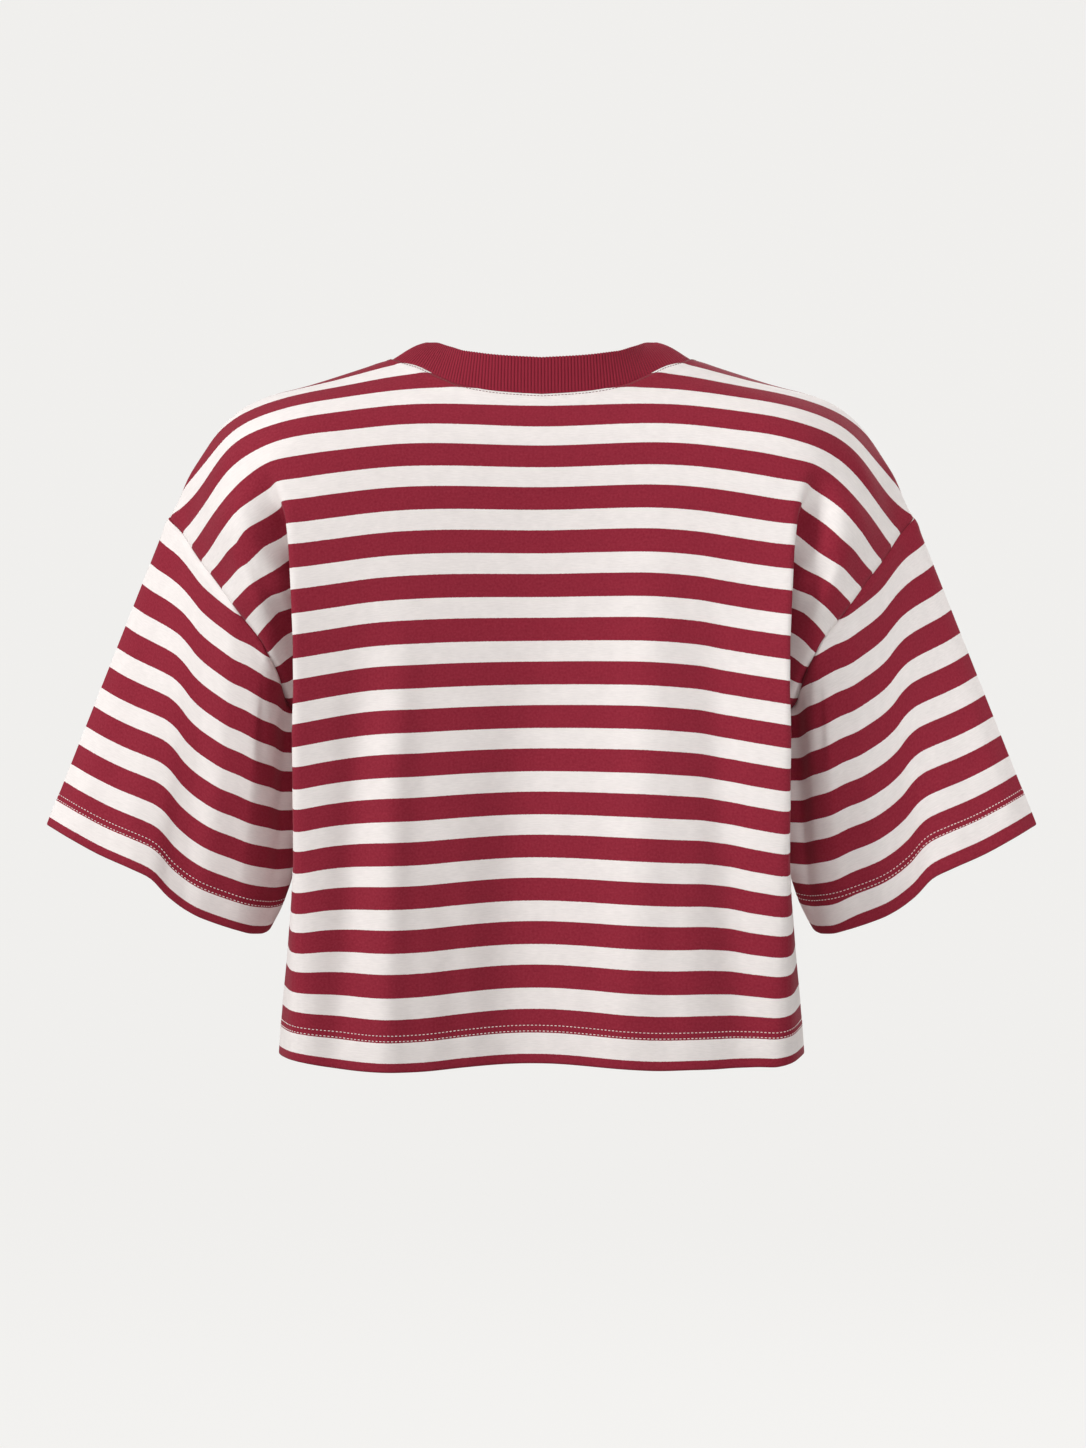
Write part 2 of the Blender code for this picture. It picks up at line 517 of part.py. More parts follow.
def band_mesh(name, foot, slant, face, foot_normal):
    """Stand the ribbed neckband on its seam, with a plain inside."""
    columns = len(foot)
    grid = np.array([foot, foot + slant])
    start = foot + seam_steps(grid, grid - foot_normal * CLOTH_THICKNESS, 0, 1, True)
    raised = face * (RIB_HEIGHT * (np.arange(columns) % 2))[:, None]
    outer = np.array([start, start + slant * 0.08 + raised, start + slant * 0.97 + raised])
    coarse = np.arange(0, columns, 6)
    inner = np.array([start[coarse] - foot_normal[coarse] * CLOTH_THICKNESS,
                      start[coarse] + slant[coarse] * 0.5 - face[coarse] * CLOTH_THICKNESS,
                      start[coarse] + slant[coarse] * 0.97 - face[coarse] * CLOTH_THICKNESS])
    points = np.concatenate([outer.reshape(-1, 3), inner.reshape(-1, 3)]) * MM
    second = outer.shape[0] * columns
    few = len(coarse)
    faces = []
    for row in range(outer.shape[0] - 1):
        for column in range(columns):
            after = (column + 1) % columns
            faces.append((row * columns + column, row * columns + after,
                          (row + 1) * columns + after, (row + 1) * columns + column))
        for column in range(few):
            after = (column + 1) % few
            faces.append((second + row * few + after, second + row * few + column,
                          second + (row + 1) * few + column, second + (row + 1) * few + after))
    for row in (0, outer.shape[0] - 1):
        for column in range(few):
            near = second + row * few + column
            after = second + row * few + (column + 1) % few
            faces.append((near, after, row * columns + (6 * column + 3) % columns))
            for fine in range(6 * column - 3, 6 * column + 3):
                faces.append((row * columns + fine % columns,
                              row * columns + (fine + 1) % columns, near))
    return finish_mesh(name, points, faces)


def cloth_material(name, color):
    """Make the plain material of one cloth."""
    material = bpy.data.materials.new(name)
    material.use_nodes = True
    shader = material.node_tree.nodes["Principled BSDF"]
    shader.inputs["Base Color"].default_value = color
    shader.inputs["Roughness"].default_value = 0.85
    return material


def build_shirt():
    """Build the five pieces of the shirt in a collection of their own."""
    for item in list(bpy.data.objects):
        bpy.data.objects.remove(item, do_unlink=True)

    back_half = place_half_panel(BACK_GUIDES, BACK_TOP)
    front_half = place_half_panel(FRONT_GUIDES, FRONT_TOP)
    edge_height = back_half[1][:, -1]
    forward = (1, -1, 1)
    front_place = settle_on_seam(front_half[2] * forward, front_half[1], back_half[2]) * forward

    grids = {"back": both_halves(back_half[2], False),
             "front": both_halves(front_place, True)}
    for name, side, column in (("sleeve_left", -1, 0), ("sleeve_right", 1, -1)):
        grids[name] = sleeve_grid(grids["back"][:, column], grids["front"][:, column],
                                  edge_height, side)

    normals = {}
    for name, grid in grids.items():
        cross = cell_normals(grid, name.startswith("sleeve"))
        away = grid - grid.reshape(-1, 3).mean(axis=0)
        if not name.startswith("sleeve"):
            away = away * 0 + (0, 1 if name == "front" else -1, 0)
        normals[name] = cross * np.sign((away * cross).sum())
    normals = share_normals(normals, grids)

    middle = grids["back"].shape[1] // 2
    span = slice(middle - NECK_COLUMNS, middle + NECK_COLUMNS + 1)
    back_neck, front_neck = grids["back"][-1, span], grids["front"][-1, span]
    corners = np.concatenate([back_neck, front_neck[-2:0:-1]])
    count = 2 * RIB_COUNT
    foot = spread_round(corners, corners, count)
    slant, face = band_directions(foot)
    length = ring_lengths(corners)
    nearest = np.round(length[:-1] / length[-1] * count).astype(int) % count
    wall = np.concatenate([normals["back"][-1, span], normals["front"][-1, span][-2:0:-1]])
    wall = unit(wall + face[nearest])
    normals["back"][-1, span] = wall[:2 * NECK_COLUMNS + 1]
    normals["front"][-1, span] = np.concatenate([wall[:1], wall[:2 * NECK_COLUMNS - 1:-1]])

    collection = bpy.data.collections.new("crop_top")
    bpy.context.scene.collection.children.link(collection)
    jersey = cloth_material("striped_jersey", JERSEY_CREAM)
    rib = cloth_material("burgundy_rib", JERSEY_RED)

    meshes = {}
    for name, grid in grids.items():
        inner = grid - normals[name] * CLOTH_THICKNESS
        tube = name.startswith("sleeve")
        seams = [(0, 1, True)] if tube else panel_seams(grid.shape)
        meshes[name] = wall_mesh(name, *part_seams(grid, inner, seams), tube)
    meshes["neckband"] = band_mesh("neckband", foot, slant, face,
                                   unit(spread_round(corners, wall, count)))

    for name, mesh in meshes.items():
        item = bpy.data.objects.new(name, mesh)
        item.data.materials.append(rib if name == "neckband" else jersey)
        collection.objects.link(item)


build_shirt()
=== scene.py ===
# %% [markdown]
# # A cropped, boxy T-shirt in striped jersey
#
# The shirt is shown filled out with no wearer, seen from behind. A maker cuts it
# from five pieces: a back, a front, two wide sleeves and a ribbed neckband. Each one
# is built here as a thin shell of its own, 1.6 mm thick, with its hem, its seams,
# its stitches and its soft folds. Lengths are in millimetres until a mesh is made.
#
# The first step loads the fixed frame. Every shell goes where its solid is.

# %% Load the fixed frame
import math

import bpy
import numpy as np
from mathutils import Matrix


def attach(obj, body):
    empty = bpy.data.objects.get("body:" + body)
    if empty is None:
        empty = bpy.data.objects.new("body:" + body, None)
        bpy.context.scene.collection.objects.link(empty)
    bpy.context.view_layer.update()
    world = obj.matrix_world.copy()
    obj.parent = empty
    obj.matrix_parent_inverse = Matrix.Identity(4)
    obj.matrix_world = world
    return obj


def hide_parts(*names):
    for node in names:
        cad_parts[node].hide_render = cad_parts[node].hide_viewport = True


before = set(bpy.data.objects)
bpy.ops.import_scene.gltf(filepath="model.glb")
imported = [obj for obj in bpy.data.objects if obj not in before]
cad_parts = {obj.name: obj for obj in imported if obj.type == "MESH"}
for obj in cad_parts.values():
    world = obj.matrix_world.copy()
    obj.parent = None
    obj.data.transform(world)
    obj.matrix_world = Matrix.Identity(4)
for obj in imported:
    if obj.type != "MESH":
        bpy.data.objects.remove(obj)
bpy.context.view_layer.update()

print("nodes to dress:", ", ".join(sorted(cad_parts)))

# %% [markdown]
# ## Sizes and tables
#
# A body panel is known twice. Flat, as it is cut, a point has a distance from the
# centre line ("along") and a height above the hem. Worn, guide lines run up the
# panel: the spine, the blade, the flank, the crest of the fold beside the arm, the
# valley inside that fold, and so on to the sewn edge. "out" is the distance from the
# middle plane, "depth" the distance behind the side seams (ahead of them on the
# front) and "rise" the height above the origin, at the base of the neck. Tables keep
# the shape in a few named numbers, which a sculpted mesh would not.

# %% Sizes
MM = 0.001
CLOTH_THICKNESS = 1.6
SEAM_GAP = 0.3
UNDERARM_HEIGHT = 235
EVEN_HEIGHT = 300.0
NOMINAL_TOP = 470.0
BAND_WIDTH = 26.6
RIB_COUNT = 279

# Softening: how far the cloth's roundness reaches at the hem and inside the folds
SOFT_REACH = (("height", "reach"),
              (0, 15), (150, 12), (235, 8), (330, 6), (420, 8), (450, 12), (540, 12))

# The samples across that reach, and their weights
SOFT_SAMPLES = ((-1, 0.12), (-0.5, 0.23), (0, 0.3), (0.5, 0.23), (1, 0.12))

# Share of the fold's crispness at each height: 1 is a crease, 0 is smooth cloth
FOLD_CRISPNESS = (("height", "share"),
                  (0, 1), (405, 1), (425, 0.75), (445, 0), (540, 0))

# %% Guide lines and rulings
GUIDE_COLUMNS = ("height", "along", "out", "depth", "rise")

BACK_GUIDES = {
    "spine": (GUIDE_COLUMNS,
        (0, 0, 0, 88, -496.5), (100, 0, 0, 89, -395.2), (200, 0, 0, 91, -295.5),
        (290, 0, 0, 92, -205.3), (350, 0, 0, 93, -144.9), (396, 0, 0, 94, -99.1),
        (426, 0, 0, 91, -70), (456, 0, 0, 82, -41.8), (467, 0, 0, 77, -31.7),
        (490, 0, 0, 64, -12.5), (524, 0, 0, 42, 13)),
    "blade": (GUIDE_COLUMNS,
        (0, 98, 97, 104, -501.3), (36, 98, 97, 104, -466), (80, 98, 97, 103.5, -420.8),
        (140, 98, 97.5, 102, -360.7), (200, 98, 97.5, 100, -299.8),
        (260, 98, 97.5, 98, -238.9), (320, 98, 98, 97, -177.1), (380, 98, 98, 95, -115.2),
        (410, 98, 98, 92, -84.5), (440, 98, 98, 85, -55), (456, 98, 98.5, 76.5, -40.5),
        (471, 98, 98.5, 66, -28.6), (486, 98, 99, 54.5, -18.2), (501, 98, 99, 42, -8.2),
        (515, 98, 99.5, 30, -2.8), (524, 98, 99.5, 21.5, -2.1), (540, 98, 99.5, 6, -5)),
    "flank": (GUIDE_COLUMNS,
        (0, 141, 139, 99, -499.4), (36, 141, 139, 99, -464.2), (80, 141, 139, 98.5, -419.9),
        (140, 141, 139, 98, -361.8), (200, 141, 139, 97.5, -302.9),
        (260, 141, 139, 97, -242.8), (320, 141, 139, 96, -181.6), (380, 141, 139.5, 94, -119.5),
        (410, 141, 139.5, 91, -88.4), (440, 141, 140, 84, -59.2), (456, 141, 140.5, 75.5, -45.2),
        (471, 141, 141, 64.5, -34.2), (486, 141, 141, 51.5, -25.5), (501, 141, 141.5, 37.5, -18.9),
        (512, 141, 141.5, 27, -16.1), (524, 141, 141.5, 15.5, -17), (540, 141, 141.5, 0, -21)),
    "crest": (GUIDE_COLUMNS,
        (0, 174, 171.5, 96, -494.7), (36, 174, 171.5, 97, -461.7), (80, 175, 172.5, 97, -421.2),
        (140, 176, 173, 97.5, -366.3), (200, 177, 174, 98, -308.1),
        (260, 177, 174.5, 100, -248.2), (300, 177, 174.5, 100, -206.8),
        (330, 178, 175.5, 98, -175.6), (360, 180, 177.5, 95, -144.2),
        (390, 183, 180.5, 92, -113.7), (406, 186, 184, 88, -98),
        (419, 189.5, 186.5, 84, -85.8), (434, 193, 190, 79, -73),
        (449, 194, 190.5, 72, -60.7), (464, 194, 190.5, 61, -48.5), (479, 194, 190.5, 48, -39.5),
        (494, 194, 191, 33, -32.2), (503, 194, 191.5, 24, -30.1), (524, 194, 191.5, 3, -32.1)),
    "valley": (GUIDE_COLUMNS,
        (0, 222, 184.5, 50, -493.5), (43, 222, 181.5, 50, -451.5), (63, 222, 179.5, 50, -432),
        (97, 224, 176, 48, -399.5), (125, 227, 172, 46, -373), (150, 231, 168, 44, -349),
        (200, 238, 163, 38, -303), (235, 243, 160, 32, -271), (247, 243, 158, 31, -260.5),
        (258, 244, 157, 31, -252), (269, 245, 156.5, 31, -243.5),
        (299, 237, 157, 38, -213), (329, 223, 160, 49, -182), (359, 210, 164, 62, -151),
        (389, 200, 176, 73, -120.5), (404, 199, 184, 78, -105), (419, 201, 192, 79, -90.5),
        (434, 214, 208.5, 70, -84.5), (449, 215, 210.5, 62, -70), (464, 215, 211, 52, -57.5),
        (479, 215, 212, 39, -48), (494, 215, 213, 25, -40.6), (505, 215, 214, 14, -38),
        (524, 215, 214, -5, -42)),
    "shoulder": (GUIDE_COLUMNS,
        (0, 248, 184, 22, -494), (60, 248, 178, 22, -436), (120, 250, 169.5, 20, -378),
        (200, 257, 160.5, 16, -302), (235, 262, 158.3, 12, -269), (247, 262, 161, 23, -261),
        (258, 261.5, 165, 29, -254.5), (269, 261, 170, 33, -248),
        (299, 260, 174.5, 50, -222), (329, 259, 185, 69, -195.5), (359, 254, 197, 83, -170.5),
        (389, 238, 205.5, 84, -139), (404, 230, 208, 82, -121), (419, 226, 213, 76, -106.5),
        (434, 246, 228.5, 55, -104.5), (449, 250, 232.5, 47, -92), (464, 250, 234, 35, -80),
        (479, 250, 236.5, 21, -69), (494, 250, 236.5, 7, -61.7), (524, 250, 236, -20, -67)),
    "arm": (GUIDE_COLUMNS,
        (0, 262, 183.5, 8, -494), (120, 262, 169, 7, -378), (235, 265, 158, 5, -268.5),
        (240, 265, 160, 12, -266), (247, 265, 162.5, 18, -262), (258, 265, 168.5, 25.5, -255.5),
        (269, 265.5, 174.5, 31.5, -248.8), (299, 267, 179.5, 52, -225.3),
        (329, 268, 190.5, 69, -201.5), (359, 267, 205.5, 76, -177.5),
        (389, 261, 218, 68, -150.5), (404, 260, 225, 62, -139), (419, 264, 233, 51, -128.5),
        (434, 273, 241, 35, -119), (449, 280, 247.5, 21, -110), (464, 283, 252, 12, -98),
        (479, 283, 254.5, 2, -90), (500, 283, 253, -17, -86), (524, 283, 251, -38, -96)),
    "edge": (GUIDE_COLUMNS,
        (0, 271, 183, 0, -494), (60, 271, 177, 0, -436), (120, 270, 168, 0, -378),
        (180, 269, 161, 0, -321), (235, 268, 158, 0, -268), (240, 268, 160, 8, -265.8),
        (247, 268.5, 164, 15.5, -261.5), (258, 269, 171.5, 23, -255.3),
        (269, 270, 178.7, 28, -249.3), (299, 272.5, 184, 51, -228),
        (329, 276.5, 194.7, 66, -206.5), (359, 281, 212.2, 65, -184.2),
        (389, 286.5, 229.4, 50, -161.6),
        (419, 292.5, 244.7, 30, -142.6), (440, 299, 255, 14, -127.5),
        (458, 308, 266, 0, -114), (480, 308, 263, -20, -109), (524, 308, 255, -55, -122)),
}


def with_depths(guide, depths):
    """Give a guide line other depths, row by row: both panels share their sewn edge."""
    rows = [(height, along, out, depth, rise)
            for (height, along, out, _, rise), depth in zip(guide[1:], depths)]
    return (guide[0], *rows)


FRONT_GUIDES = {
    "spine": (GUIDE_COLUMNS,
        (0, 0, 0, 94, -497), (120, 0, 0, 95, -377), (240, 0, 0, 95, -257),
        (310, 0, 0, 94, -187), (350, 0, 0, 91, -147.2), (380, 0, 0, 86, -117.6),
        (404, 0, 0, 79, -94.6), (450, 0, 0, 58, -53), (543, 0, 0, 0, 18)),
    "blade": (GUIDE_COLUMNS,
        (0, 98, 97, 103, -500), (120, 98, 97, 100, -380), (240, 98, 97, 96, -260),
        (320, 98, 97, 92, -180), (360, 98, 97, 87.5, -140.3), (400, 98, 97.5, 76, -102),
        (440, 98, 98, 57, -66.8), (480, 98, 98.5, 30.5, -37), (510, 98, 99, 5.5, -20.5),
        (524, 98, 99.5, -7, -14), (543, 98, 99.5, -25, -7)),
    "flank": (GUIDE_COLUMNS,
        (0, 141, 139, 98, -499), (120, 141, 139, 96, -380), (240, 141, 139, 92, -261),
        (320, 141, 139, 87, -181.5), (360, 141, 139, 81, -142), (400, 141, 139.5, 69, -104),
        (440, 141, 140, 50, -69), (480, 141, 141, 24.5, -40), (510, 141, 141.5, 0, -25.5),
        (534, 141, 141.5, -21, -18), (550, 141, 141.5, -36, -14)),
    "crest": (GUIDE_COLUMNS,
        (0, 174, 171.5, 92, -496), (120, 175, 172.5, 90, -383), (200, 177, 173.5, 88, -306),
        (260, 177, 174, 86, -246), (300, 177, 174, 84, -206), (330, 178, 174.5, 80.5, -176),
        (360, 179, 176, 75, -146), (390, 183, 179.5, 68, -118), (419, 189, 186, 57, -92),
        (449, 194, 190, 42, -70), (479, 194, 190.5, 19, -50), (503, 194, 191, -2, -38.5),
        (520, 194, 191.5, -18, -33), (545, 194, 191.5, -41, -30)),
    "valley": (GUIDE_COLUMNS,
        (0, 222, 184.5, 48, -493.5), (63, 222, 179.5, 47, -432), (125, 227, 172, 43, -373),
        (200, 238, 163, 35, -303), (235, 243, 160, 27, -271), (269, 246, 157.5, 26, -244),
        (299, 237, 158, 34, -213), (329, 223, 162, 44, -183), (359, 211, 168, 54, -154),
        (389, 205, 181, 57, -126), (419, 206, 196.5, 53, -100), (449, 215, 208, 38, -78),
        (479, 215, 211, 14, -58.5), (500, 215, 213, -5, -46.5), (514, 215, 214, -18, -41),
        (540, 215, 214, -42, -38)),
    "shoulder": (GUIDE_COLUMNS,
        (0, 248, 184, 21, -494), (60, 248, 178, 21, -436), (120, 250, 169.5, 19, -378),
        (200, 257, 160.5, 14, -302), (235, 262, 158.3, 10, -269), (247, 262, 161, 19, -261),
        (258, 261.5, 165, 24, -254.5), (269, 261, 170, 27, -248),
        (299, 260, 174.5, 42, -222), (329, 259, 185, 56, -196), (359, 254, 196.5, 65, -171.5),
        (389, 242, 206, 62, -144), (419, 238, 217, 50, -118), (449, 250, 229, 27, -98),
        (479, 250, 236, 0, -73.5), (499, 250, 236.5, -14, -61.5), (530, 250, 236, -42, -56)),
    "arm": (GUIDE_COLUMNS,
        (0, 262, 183.5, 8, -494), (120, 262, 169, 7, -378), (235, 265, 158, 4, -268.5),
        (240, 265, 160, 10, -266), (247, 265, 162.5, 15.5, -262), (258, 265, 168.5, 21.5, -255.5),
        (269, 265.5, 174.5, 26, -248.8), (299, 267, 179.5, 42.5, -225.3),
        (329, 268, 190.5, 55, -201.5), (359, 267, 205.5, 58, -178),
        (389, 262, 218.5, 51, -152), (419, 264, 232.5, 37, -130), (449, 278, 246.5, 12, -110),
        (464, 283, 253, 0, -98), (480, 283, 255, -7, -88), (510, 283, 252, -32, -82)),
    "edge": with_depths(BACK_GUIDES["edge"], (0, 0, 0, 0, 0, 6.8, 13, 19, 23, 41.5, 53, 52, 40,
                                              24, 11, 0, -20, -55)),
}

# The cut top edge of each panel: the neck curve, then the shoulder seam
BACK_TOP = (("along", "height"),
            (0, 466.5), (29, 468.3), (57, 474.2), (71, 483), (85, 494.2), (98, 505),
            (108, 524), (168, 513), (206, 503), (255, 487), (292, 472), (308, 458))
FRONT_TOP = (("along", "height"),
             (0, 404), (30, 408), (60, 423), (76, 440), (88, 459), (100, 491),
             (108, 541), (168, 526), (206, 515), (255, 494), (292, 474), (308, 458))

# Sleeve rulings: where each leaves the armhole, as a height on the body's edge, and
# where it meets the hem. The last column bows the ruling sideways at its middle.
SLEEVE_RULINGS = (
    ("edge_height", "out", "depth", "rise", "bow"),
    (235, 194.5, 0, -409, -7), (247, 196, 5, -410.5, -6), (269, 199, 11, -411.3, -5),
    (299, 205, 19, -411, -3), (329, 216, 26, -408, 0), (359, 234.4, 30, -401.6, 0),
    (388, 251, 31.5, -393.7, 0), (402, 262.1, 35.5, -385, 0), (416, 275.4, 39.5, -371, 0),
    (428, 290, 38, -363.9, 0), (440, 313, 29, -354.3, 0), (450, 336, 19, -342.5, 0),
    (458, 353, 0, -334, 0))
FRONT_SLEEVE_DEPTH = 0.92

# Neckband: how far its free edge lies inward and above its seam, by the seam's "out"
BAND_LEAN_BACK = (("out", "inward", "rise"),
                  (0, 1.5, 25), (42, 4, 25), (66, 11.5, 23), (85, 18.5, 18.3),
                  (98, 21.5, 15.3), (109, 23, 13.3))
BAND_LEAN_FRONT = (("out", "inward", "rise"),
                   (0, 10, 23), (30, 11, 22.6), (60, 14, 21), (85, 18.5, 17.5),
                   (98, 21.5, 14.5), (109, 23, 13.3))

# %% [markdown]
# ## Bending cloth over guide lines
#
# A sculptor would push a mesh about. Here the cloth is bent across its guide lines as
# a thin batten is, so the flat pattern and the worn form stay tied together, and the
# knitted stripes follow every fold by themselves.

# %% Curves
def unit(vectors):
    """Scale vectors to length one."""
    return vectors / np.maximum(np.linalg.norm(vectors, axis=-1, keepdims=True), 1e-12)


def eased(share):
    """Turn a straight ramp from 0 to 1 into one that starts and ends softly."""
    share = np.clip(share, 0, 1)
    return share * share * (3 - 2 * share)


def joined_up(rows):
    """Repeat the first of a ring's rows after its last."""
    return np.concatenate([rows, rows[:1]])


def distance_run(line):
    """Give the distance run at each point of a line."""
    return np.concatenate([[0], np.cumsum(np.linalg.norm(np.diff(line, axis=0), axis=1))])


def read_line(place, run, values):
    """Read vectors given along a line at other places on it."""
    return np.stack([np.interp(place, run, values[:, axis]) for axis in range(3)], axis=-1)


def batten(knots, values):
    """Bend a natural cubic spline through values at knots, for whole stacks at once.

    knots is (stack, n), values is (stack, n, k). Past its ends the batten runs on
    straight. The function that comes back takes one place for each of the stack.
    """
    step = np.diff(knots, axis=1)
    slope = np.diff(values, axis=1) / step[:, :, None]
    stack, count = knots.shape
    matrix = np.zeros((stack, count, count))
    right = np.zeros(values.shape)
    matrix[:, 0, 0] = 1.0
    matrix[:, -1, -1] = 1.0
    for row in range(1, count - 1):
        matrix[:, row, row - 1] = step[:, row - 1]
        matrix[:, row, row] = 2 * (step[:, row - 1] + step[:, row])
        matrix[:, row, row + 1] = step[:, row]
        right[:, row] = 6 * (slope[:, row] - slope[:, row - 1])
    bend = np.linalg.solve(matrix, right)

    def at(place):
        inside = np.clip(place, knots[:, 0], knots[:, -1])
        span = np.clip((knots[:, :-1] <= inside[:, None]).sum(axis=1) - 1, 0, count - 2)
        pick = np.arange(stack)
        width = step[pick, span][:, None]
        left = (inside - knots[pick, span])[:, None]
        low, high = bend[pick, span], bend[pick, span + 1]
        rate = slope[pick, span] - width * (2 * low + high) / 6
        value = low / 2 + left * (high - low) / (6 * width)
        value = values[pick, span] + left * (rate + left * value)
        run = rate + left * (low + left * (high - low) / (2 * width))
        return value + run * (place - inside)[:, None]

    return at


def read_table(rows, place):
    """Read the columns after the first at each place, on curves that never overshoot."""
    table = np.array([row for row in rows if not isinstance(row[0], str)], dtype=float)
    place = np.atleast_1d(np.asarray(place, dtype=float))
    knots, values = table[:, 0], table[:, 1:]
    step = np.diff(knots)[:, None]
    slope = np.diff(values, axis=0) / step
    tangent = np.vstack([slope[:1], np.zeros_like(slope[1:]), slope[-1:]])
    same_way = slope[:-1] * slope[1:] > 0
    near, far = step[:-1], step[1:]
    before = np.where(same_way, slope[:-1], 1.0)
    after = np.where(same_way, slope[1:], 1.0)
    blend = 3 * (near + far) / ((2 * far + near) / before + (far + 2 * near) / after)
    tangent[1:-1] = np.where(same_way, blend, 0.0)
    inside = np.clip(place, knots[0], knots[-1])
    span = np.clip(np.searchsorted(knots, inside, side="right") - 1, 0, len(knots) - 2)
    width = step[span]
    part = (inside - knots[span])[:, None] / width
    value = values[span] * (1 + 2 * part) * (1 - part) ** 2
    value += values[span + 1] * part ** 2 * (3 - 2 * part)
    value += width * tangent[span] * part * (1 - part) ** 2
    value -= width * tangent[span + 1] * part ** 2 * (1 - part)
    beyond = (place - inside)[:, None]
    return value + beyond * np.where(beyond < 0, tangent[0], tangent[-1])


def read_straight(rows, place):
    """Read a two-column table with straight runs between its rows."""
    return np.interp(place, *np.array(rows[1:], dtype=float).T)


def bent_cloth(guides, along, height):
    """Place flat points of a panel on the guide lines, before softening."""
    lines = {name: read_table(rows, height) for name, rows in guides.items()}
    inner = [lines[name] for name in ("spine", "blade", "flank", "crest")]
    outer = [lines[name] for name in ("crest", "valley", "shoulder", "arm", "edge")]
    mirror = [line * (-1, -1, 1, 1) for line in (inner[2], inner[1])]

    def across(group):
        stack = np.stack(group, axis=1)
        return batten(stack[:, :, 0], stack[:, :, 1:])(along)

    folded = np.where((along <= lines["crest"][:, 0])[:, None],
                      across(mirror + inner), across(outer))
    smooth = across(mirror + inner + outer[1:])
    crisp = read_straight(FOLD_CRISPNESS, height)[:, None]
    return crisp * folded + (1 - crisp) * smooth


def worn_cloth(guides, along, height):
    """Place flat points of a panel in space, as (out, depth, rise) in millimetres."""
    edge = read_table(guides["edge"], height)[:, 0]
    reach = read_straight(SOFT_REACH, height)
    reach = np.minimum(reach, np.maximum(edge - along, 0))
    place = np.zeros((len(along), 3))
    for offset, weight in SOFT_SAMPLES:
        place += weight * bent_cloth(guides, along + offset * reach, height)
    return place


# %% [markdown]
# ## The cutting grid
#
# Each half panel gets a fine grid of flat points. Its columns share out the cloth
# between two guide lines and its rows lie close at the hem and at the neck, where the
# sewing is. The smooth neck curve ends at the shoulder point.

# %% Rows and columns
HEM_FOLD = 1.5
HEM_DEPTH = 24.0
SHOULDER_POINT = 108.0
ROW_RUNS = ((HEM_FOLD, 30.0, 19), (30.0, UNDERARM_HEIGHT, 61), (UNDERARM_HEIGHT, EVEN_HEIGHT, 20),
            (EVEN_HEIGHT, 458.0, 47), (458.0, NOMINAL_TOP, 9))
COLUMN_RUNS = (("from", "to", "first share", "last share", "columns"),
               ("spine", "crest", 0.0, 0.516, 38), ("spine", "crest", 0.516, 0.5567, 8),
               ("spine", "crest", 0.5567, 1.0, 36),
               ("crest", "valley", 0.0, 1.0, 22), ("valley", "shoulder", 0.0, 1.0, 10),
               ("shoulder", "arm", 0.0, 1.0, 6), ("arm", "edge", 0.0, 1.0, 6))
NECK_COLUMNS = COLUMN_RUNS[1][4] + COLUMN_RUNS[2][4]


def run_of_steps(runs):
    """Join runs of even steps into one list of places."""
    places = [runs[0][0]]
    for first, last, count in runs:
        places.extend(np.linspace(first, last, count + 1)[1:])
    return np.array(places)


def top_height(top_edge, along):
    """Give the height of the cut top edge: the neck curve, then the shoulder seam."""
    neck = [row for row in top_edge[1:] if row[0] <= SHOULDER_POINT]
    shoulder = [row for row in top_edge[1:] if row[0] >= SHOULDER_POINT]
    along = np.atleast_1d(along)
    return np.where(along < SHOULDER_POINT, read_table(neck, along)[:, 0],
                    read_table(shoulder, along)[:, 0])


def panel_grid(guides, top_edge):
    """Give the flat (along, height) of each grid point of half a panel."""
    rows = run_of_steps(ROW_RUNS)
    columns = []
    for first, second, start, end, count in COLUMN_RUNS[1:]:
        shares = np.linspace(start, end, count + 1)
        for share in shares[1 if columns else 0:]:
            near, far = (read_table(guides[name], 500.0)[0, 0] for name in (first, second))
            top = top_height(top_edge, (1 - share) * near + share * far)[0]
            stretch = (top - EVEN_HEIGHT) / (NOMINAL_TOP - EVEN_HEIGHT)
            stretched = EVEN_HEIGHT + (rows - EVEN_HEIGHT) * stretch
            height = np.where(rows > EVEN_HEIGHT, stretched, rows)
            near, far = (read_table(guides[name], height)[:, 0] for name in (first, second))
            columns.append(((1 - share) * near + share * far, height))
    return np.array(columns).transpose(1, 2, 0)


# %% Settle the front on the shoulder seam
# The easing starts this far along the neck, and fades out this far down the panel
SETTLE_FROM, SETTLE_FADE = 79.0, 80.0


def settle_on_seam(front, front_height, back, along):
    """Bring the front's shoulder edge onto the back's, easing out down the panel."""
    shift = back[-1] - front[-1]
    shift[:NECK_COLUMNS] = shift[NECK_COLUMNS]
    easing = np.interp(along, (SETTLE_FROM, SHOULDER_POINT), (0, 1))
    fade = eased(1 - (front_height[-1] - front_height) / SETTLE_FADE)
    return front + shift[None] * easing[None, :, None] * fade[:, :, None]


def both_halves(half, flip):
    """Mirror half a grid about the middle plane: flip holds the signs of the far side."""
    return np.concatenate([(half * flip)[:, :0:-1], half], axis=1)


# %% Let the back hang
# The shoulder seam's end stands up as a small knot of turnings at the neckband
KNOT_ALONG, KNOT_RISE, KNOT_REACH = 114.0, 1.3, 5.0

